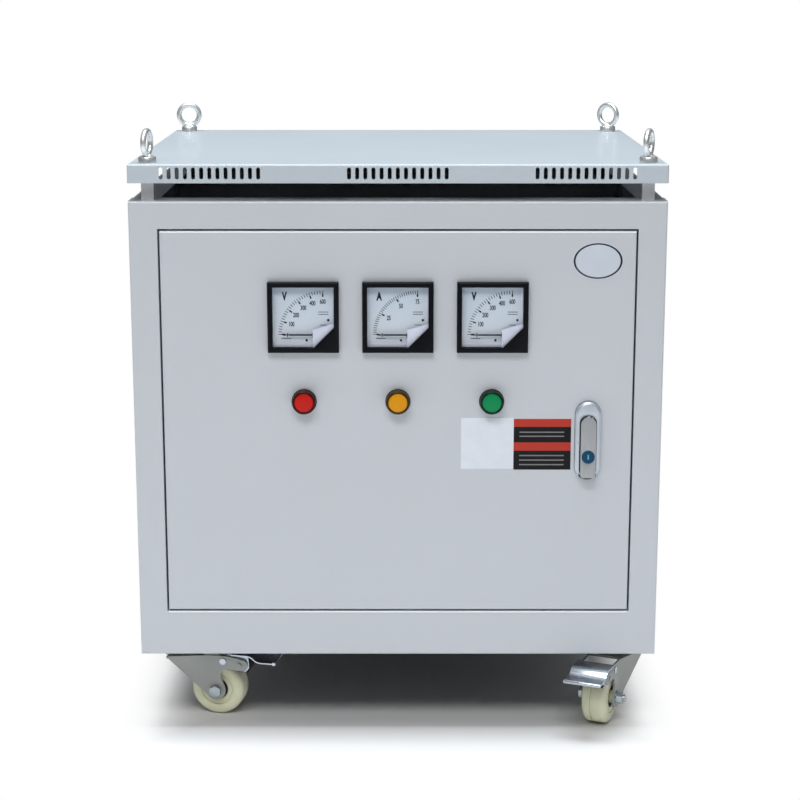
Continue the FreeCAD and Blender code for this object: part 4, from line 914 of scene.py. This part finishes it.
class CABINET_OT_lock(bpy.types.Operator):
    """Finishes the lever lock"""
    bl_idname = "cabinet.lock"
    bl_label = "Lever lock"

    def gasket(self, housing):
        """The thin black seal that shows round the housing's foot."""
        low, high = housing
        edge, thick = 0.3 * MM, 0.7 * MM
        radius = (high.x - low.x) / 2 + edge
        middle = (low.x + high.x) / 2
        ends = [turned("end", [(radius, 0), (radius, thick)], Vector((middle, FRONT, z)), TO_FRONT, 48)
                for z in (low.z - edge + radius, high.z + edge - radius)]
        piece = only(joined("lock_gasket", ends))
        bpy.ops.object.mode_set(mode="EDIT")
        bpy.ops.mesh.select_all(action="SELECT")
        bpy.ops.mesh.convex_hull()
        bpy.ops.object.mode_set(mode="OBJECT")
        finished(smooth(piece), black_rubber("gasket_rubber"), "door", "meter_black")

    def execute(self, context):
        colours = context.scene.cabinet_colours
        housing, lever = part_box("lock_housing"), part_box("lock_lever")
        half = (lever[1].x - lever[0].x) / 2
        arc = Vector((lever[0].x + half, 0, lever[1].z - half))
        # Where the painted shade in the gap lies: round the lever's arc behind the housing's face, and on the
        # lever's sides behind its front
        groove = (arc, half + 1.5 * MM, housing[0].y + 0.03 * MM)
        edge = (arc, half - 0.5 * MM, lever[0].y + 0.7 * MM)
        bright = lock_casting("lock_bright", colours.lock, 0.30, groove, True)
        satin = lock_casting("lock_satin", colours.lever, 0.46, edge, False)
        case = softened("lock_case", "lock_housing", 0.7 * MM)
        finished(case, bright, "door", "lock_metal", "lock_housing")
        finished(softened("lever", "lock_lever", 0.8 * MM), satin, "lever", "lock_metal", "lock_lever")
        self.gasket(housing)
        painted(zinc_plate("spindle_zinc", colours.lock, 0.4, 0.7), "lock_spindle")
        painted(zinc_plate("lock_zinc", colours.zinc), "lock_pin", "lock_cam")
        painted(moulded_plastic("key_blue", colours.key, 0.35, 3000.0, 0.15, 0.2), "lock_key_barrel")
        low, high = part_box("lock_key_barrel")
        across, rise = (low.x + high.x) / 2, (low.z + high.z) / 2
        shutter = block("key_shutter", Vector((across - 0.75 * MM, low.y + 0.6 * MM, rise - 2.8 * MM)),
                        Vector((across + 0.75 * MM, low.y + 2.2 * MM, rise + 2.8 * MM)), 0.2 * MM, 2)
        steel = zinc_plate("shutter_steel", (0.55, 0.75, 0.82), 0.3, 0.5)
        finished(shutter, steel, "key_barrel", "lock_metal")
        return {"FINISHED"}


class CABINET_OT_labels(bpy.types.Operator):
    """Sticks the plain labels on the door"""
    bl_idname = "cabinet.labels"
    bl_label = "Labels"

    SHEET = 0.25 * MM

    def sticker(self, name, left, right, bottom, top):
        """A sheet on the door, with its corners."""
        low = Vector((left * MM, FRONT - self.SHEET, LIP + bottom * MM))
        high = Vector((right * MM, FRONT, LIP + top * MM))
        return block(name, low, high, 0.08 * MM, 1), low, high

    def execute(self, context):
        white, _, _ = self.sticker("white_label", 71.8, 131.7, 223.8, 283.8)
        finished(white, blank_label("white_vinyl"), "door", "dial_white")
        dark, low, high = self.sticker("banded_label", 131.9, 197.1, 222.9, 282.4)
        red = context.scene.cabinet_colours.label_red
        finished(dark, banded_label("banded_vinyl", low, high, red), "door", "meter_black")
        centre = Vector((223.5 * MM, FRONT, LIP + 463.4 * MM))
        half_width, half_height = 28.7 * MM, 21.0 * MM
        profile = [(1.0, 0), (1.0, self.SHEET * 0.7), (0.99, self.SHEET)]
        oval = turned("oval_label", profile, Vector((0, 0, 0)), TO_FRONT, 96)
        moved(oval, Matrix.Translation(centre) @ Matrix.Diagonal((half_width, 1.0, half_height, 1.0)))
        vinyl = oval_label("oval_vinyl", centre, half_width, half_height)
        finished(oval, vinyl, "door", "dial_white")
        return {"FINISHED"}


class CABINET_OT_casters(bpy.types.Operator):
    """Finishes the casters: wheels, forks, pedals and pads"""
    bl_idname = "cabinet.casters"
    bl_label = "Casters"

    def wheel(self):
        """A moulded wheel with its sunk sides and parting line, and the black seals round its hub."""
        swivel, roll = joint_place("swivel_front_left"), joint_place("roll_front_left")
        home = Matrix.Translation((math.hypot(roll.x - swivel.x, roll.y - swivel.y), 0, roll.z))
        radius, half, hub_half, sunk = roll.z / MM, 14.5, 17.4, 5.5
        shoulder, seam, seam_half, seam_deep = 6.5, -3.0, 0.7, 1.0
        side = [(4.06, hub_half), (6.9, hub_half), (7.5, hub_half - 0.6), (7.5, half - sunk),
                (13.0, half - sunk), (13.0, half - 1.2), (13.6, half - 0.6), (17.9, half - 0.6),
                (18.4, half - 1.7), (19.3, half - 1.7), (20.0, half - 0.3), (21.5, half)]
        for step in range(6):
            turn = math.radians(18 * step)
            side.append((radius - shoulder * (1 - math.sin(turn)), half - shoulder * (1 - math.cos(turn))))
        groove = [(radius, seam + seam_half), (radius - seam_deep, seam + 0.25),
                  (radius - seam_deep, seam - 0.25), (radius, seam - seam_half)]
        profile = side + groove + [(r, -along) for r, along in reversed(side)] + [side[0]]
        tyre = turned("wheel", in_mm(*profile), Vector((0, 0, 0)), ALONG_Y, 96, closed=True)
        seal = [(7.7, 9.2), (7.7, 12.6), (8.4, 13.0), (12.2, 13.0), (12.8, 12.4), (12.8, 9.2), (7.7, 9.2)]
        seals = []
        for sign in (1, -1):
            rings = in_mm(*[(r, sign * along) for r, along in seal])
            seals.append(turned("seal", rings, Vector((0, 0, 0)), ALONG_Y, 64, closed=True))
        return moved(tyre, home), moved(joined("seal", seals), home)

    def execute(self, context):
        colours = context.scene.cabinet_colours
        dull = zinc_plate("fork_zinc", colours.zinc, 0.50, 0.60)
        bright = zinc_plate("bright_zinc", colours.bright_zinc, 0.24, 0.92, 0.05)
        bolt = zinc_plate("bolt_zinc", colours.bolt, 0.30, 0.85)
        nylon = cream_nylon("cream_nylon", colours.nylon)
        rubber = black_rubber("pad_rubber")
        painted(dull, "caster_plates")
        wheel, seal = self.wheel()
        for corner in CORNERS:
            place = caster_place(corner)
            tyre = finished(copied(wheel, place), nylon, "wheel_" + corner, "nylon", "wheel_" + corner)
            tyre.name = "tyre_" + corner
            seals = finished(copied(seal, place), rubber, "wheel_" + corner, "meter_black")
            seals.name = "hub_seals_" + corner
            fork, axle = "fork_" + corner, "axle_" + corner
            finished(softened("caster_fork_" + corner, fork, 0.5 * MM), dull, fork, "zinc", fork)
            finished(softened("axle_bolt_" + corner, axle, 0.5 * MM), bolt, fork, "zinc", axle)
            if corner.startswith("front"):
                pedal = "brake_pedal_" + corner
                foot = softened("foot_pedal_" + corner, pedal, 0.35 * MM)
                finished(foot, bright, "pedal_" + corner, "bright_zinc", pedal)
                painted(rubber, "brake_pad_" + corner)
        bpy.data.objects.remove(wheel)
        bpy.data.objects.remove(seal)
        return {"FINISHED"}


class CABINET_OT_transformer(bpy.types.Operator):
    """Finishes the core, the windings and the terminals"""
    bl_idname = "cabinet.transformer"
    bl_label = "Transformer"

    def execute(self, context):
        painted(stacked_steel("core_laminations"), "core")
        painted(wound_copper("outer_turns", (0.50, 0.27, 0.16)), "outer_windings")
        painted(wound_copper("inner_turns", (0.56, 0.33, 0.19), 6.0), "inner_windings")
        painted(fibre_board("pressboard", (0.72, 0.62, 0.44)), "duct_sticks")
        painted(fibre_board("terminal_phenolic", (0.46, 0.28, 0.17)), "terminal_board")
        painted(powder_coat("clamp_paint", (0.30, 0.33, 0.36)), "lower_clamps", "upper_clamps")
        painted(black_rubber("foot_rubber"), "rubber_pads")
        painted(bare_copper("busbar_copper"), "busbars")
        return {"FINISHED"}


class CABINET_OT_stage(bpy.types.Operator):
    """Sets the floor, the lights and the camera"""
    bl_idname = "cabinet.stage"
    bl_label = "Stage"

    def lamp(self, name, place, target, size, power):
        light = bpy.data.lights.new(name, "AREA")
        light.shape = "RECTANGLE"
        light.size, light.size_y = size
        light.energy = power
        lamp = bpy.data.objects.new(name, light)
        bpy.context.scene.collection.objects.link(lamp)
        lamp.location = place
        lamp.rotation_mode = "QUATERNION"
        lamp.rotation_quaternion = (target - Vector(place)).to_track_quat("-Z", "Y")
        return lamp

    def floor(self, reach):
        """White paint, to the camera darkened under the object by a painted shadow, and plain white further away.
        """
        clear_selection()
        bpy.ops.mesh.primitive_plane_add(size=60)
        floor = bpy.context.object
        floor.name = "floor"
        finish = Finish("floor_white")
        middle, half = (CAD_BOX[0] + CAD_BOX[1]) / 2, (CAD_BOX[1] - CAD_BOX[0]) / 2
        # The white starts inside the box at its sides, and the painted shadow fades out over its edge
        inset, narrowing, edge = 60 * MM, 1.7, 80 * MM
        x, y, _ = finish.axes()
        across, along = (x - middle.x).size(), (y - middle.y).size()
        aside = (across - (half.x - inset)).largest(0.0) * narrowing
        ahead = (along - half.y).largest(0.0)
        seen = finish.seen()
        share = ((aside * aside + ahead * ahead) ** 0.5 / reach).clamped()
        share = share * share * (3 - share * 2) * seen
        # painted shadow: to the camera the floor's colour darkens from 0.95 to 0.59 inside the object's footprint
        painted_shadow = ((half.x - across) / edge).smallest((half.y - along) / edge).clamped() * seen
        paint = finish.blend(painted_shadow, (0.95, 0.95, 0.95, 1), (0.59, 0.59, 0.59, 1))
        finish.set(Base_Color=paint, Roughness=0.9, Specular_IOR_Level=0.1)
        white = finish.node("ShaderNodeEmission", None, {"Color": (1, 1, 1, 1), "Strength": 1.0})
        inputs = {0: share, 1: finish.shader.outputs[0], 2: white.outputs[0]}
        both = finish.node("ShaderNodeMixShader", None, inputs)
        finish.feed(finish.tree.nodes["Material Output"].inputs["Surface"], both.outputs[0])
        floor.data.materials.append(finish.material)

    def world(self, ambient):
        """White to the camera. It lights the object evenly from above and less from the horizon."""
        sky = Finish("studio", world=True)
        bpy.context.scene.world = sky.material
        rise = sky.axes(sky.node("ShaderNodeTexCoord").outputs["Generated"])[2]
        light = (rise * 2.0).clamped() * (ambient * 0.9) + ambient * 0.1
        seen = sky.seen()
        sky.set(Color=(1, 1, 1, 1), Strength=light * (1 - seen) + seen)

    def execute(self, context):
        settings = context.scene.cabinet_stage
        self.floor(settings.floor_shadow)
        self.world(settings.ambient)
        aim, over = Vector((0, FRONT, 0.35)), FRONT + 0.2
        self.lamp("key", (-0.4, FRONT - 2.3, 3.3), aim, (2.6, 1.0), settings.key_power)
        top = self.lamp("top", (0, over, 4.2), Vector((0, over, 0)), (2.6, 1.4), settings.top_power)
        top.data.color = (0.92, 0.97, 1.0)
        camera_data = bpy.data.cameras.new("camera")
        camera_data.lens = settings.lens
        camera_data.sensor_width = 36.0
        camera = bpy.data.objects.new("camera", camera_data)
        context.scene.collection.objects.link(camera)
        camera.location = (settings.offset, FRONT - settings.distance, LIP + settings.height)
        camera.rotation_euler = (math.pi / 2 - settings.pitch, 0, settings.turn)
        context.scene.camera = camera
        context.scene.view_settings.view_transform = "Standard"
        return {"FINISHED"}


class CABINET_PT_panel(bpy.types.Panel):
    """Lists the cabinet's operators in the sidebar"""
    bl_idname = "CABINET_PT_panel"
    bl_label = "Transformer cabinet"
    bl_space_type = "VIEW_3D"
    bl_region_type = "UI"
    bl_category = "Cabinet"

    def draw(self, context):
        for operator in OPERATORS:
            self.layout.operator(operator.bl_idname)
        for name in ("shell", "lid", "zinc", "bright_zinc", "nylon"):
            self.layout.prop(context.scene.cabinet_colours, name)
        for name in ("lens", "key_power", "top_power", "ambient"):
            self.layout.prop(context.scene.cabinet_stage, name)


GROUPS = (CabinetColours, MeterPrint, StageSettings)
OPERATORS = (CABINET_OT_shell, CABINET_OT_lifting_eyes, CABINET_OT_meters, CABINET_OT_lamps, CABINET_OT_lock,
             CABINET_OT_labels, CABINET_OT_casters, CABINET_OT_transformer, CABINET_OT_stage)


def register():
    for item in GROUPS + OPERATORS + (CABINET_PT_panel,):
        bpy.utils.register_class(item)
    bpy.types.Scene.cabinet_colours = bpy.props.PointerProperty(type=CabinetColours)
    bpy.types.Scene.cabinet_meter_print = bpy.props.PointerProperty(type=MeterPrint)
    bpy.types.Scene.cabinet_stage = bpy.props.PointerProperty(type=StageSettings)


def unregister():
    del bpy.types.Scene.cabinet_stage
    del bpy.types.Scene.cabinet_meter_print
    del bpy.types.Scene.cabinet_colours
    for item in reversed(GROUPS + OPERATORS + (CABINET_PT_panel,)):
        bpy.utils.unregister_class(item)


def main():
    register()
    bpy.ops.cabinet.shell()
    bpy.ops.cabinet.lifting_eyes()
    bpy.ops.cabinet.meters()
    bpy.ops.cabinet.lamps()
    bpy.ops.cabinet.lock()
    bpy.ops.cabinet.labels()
    bpy.ops.cabinet.casters()
    bpy.ops.cabinet.transformer()
    bpy.ops.cabinet.stage()


if __name__ == "__main__":
    main()
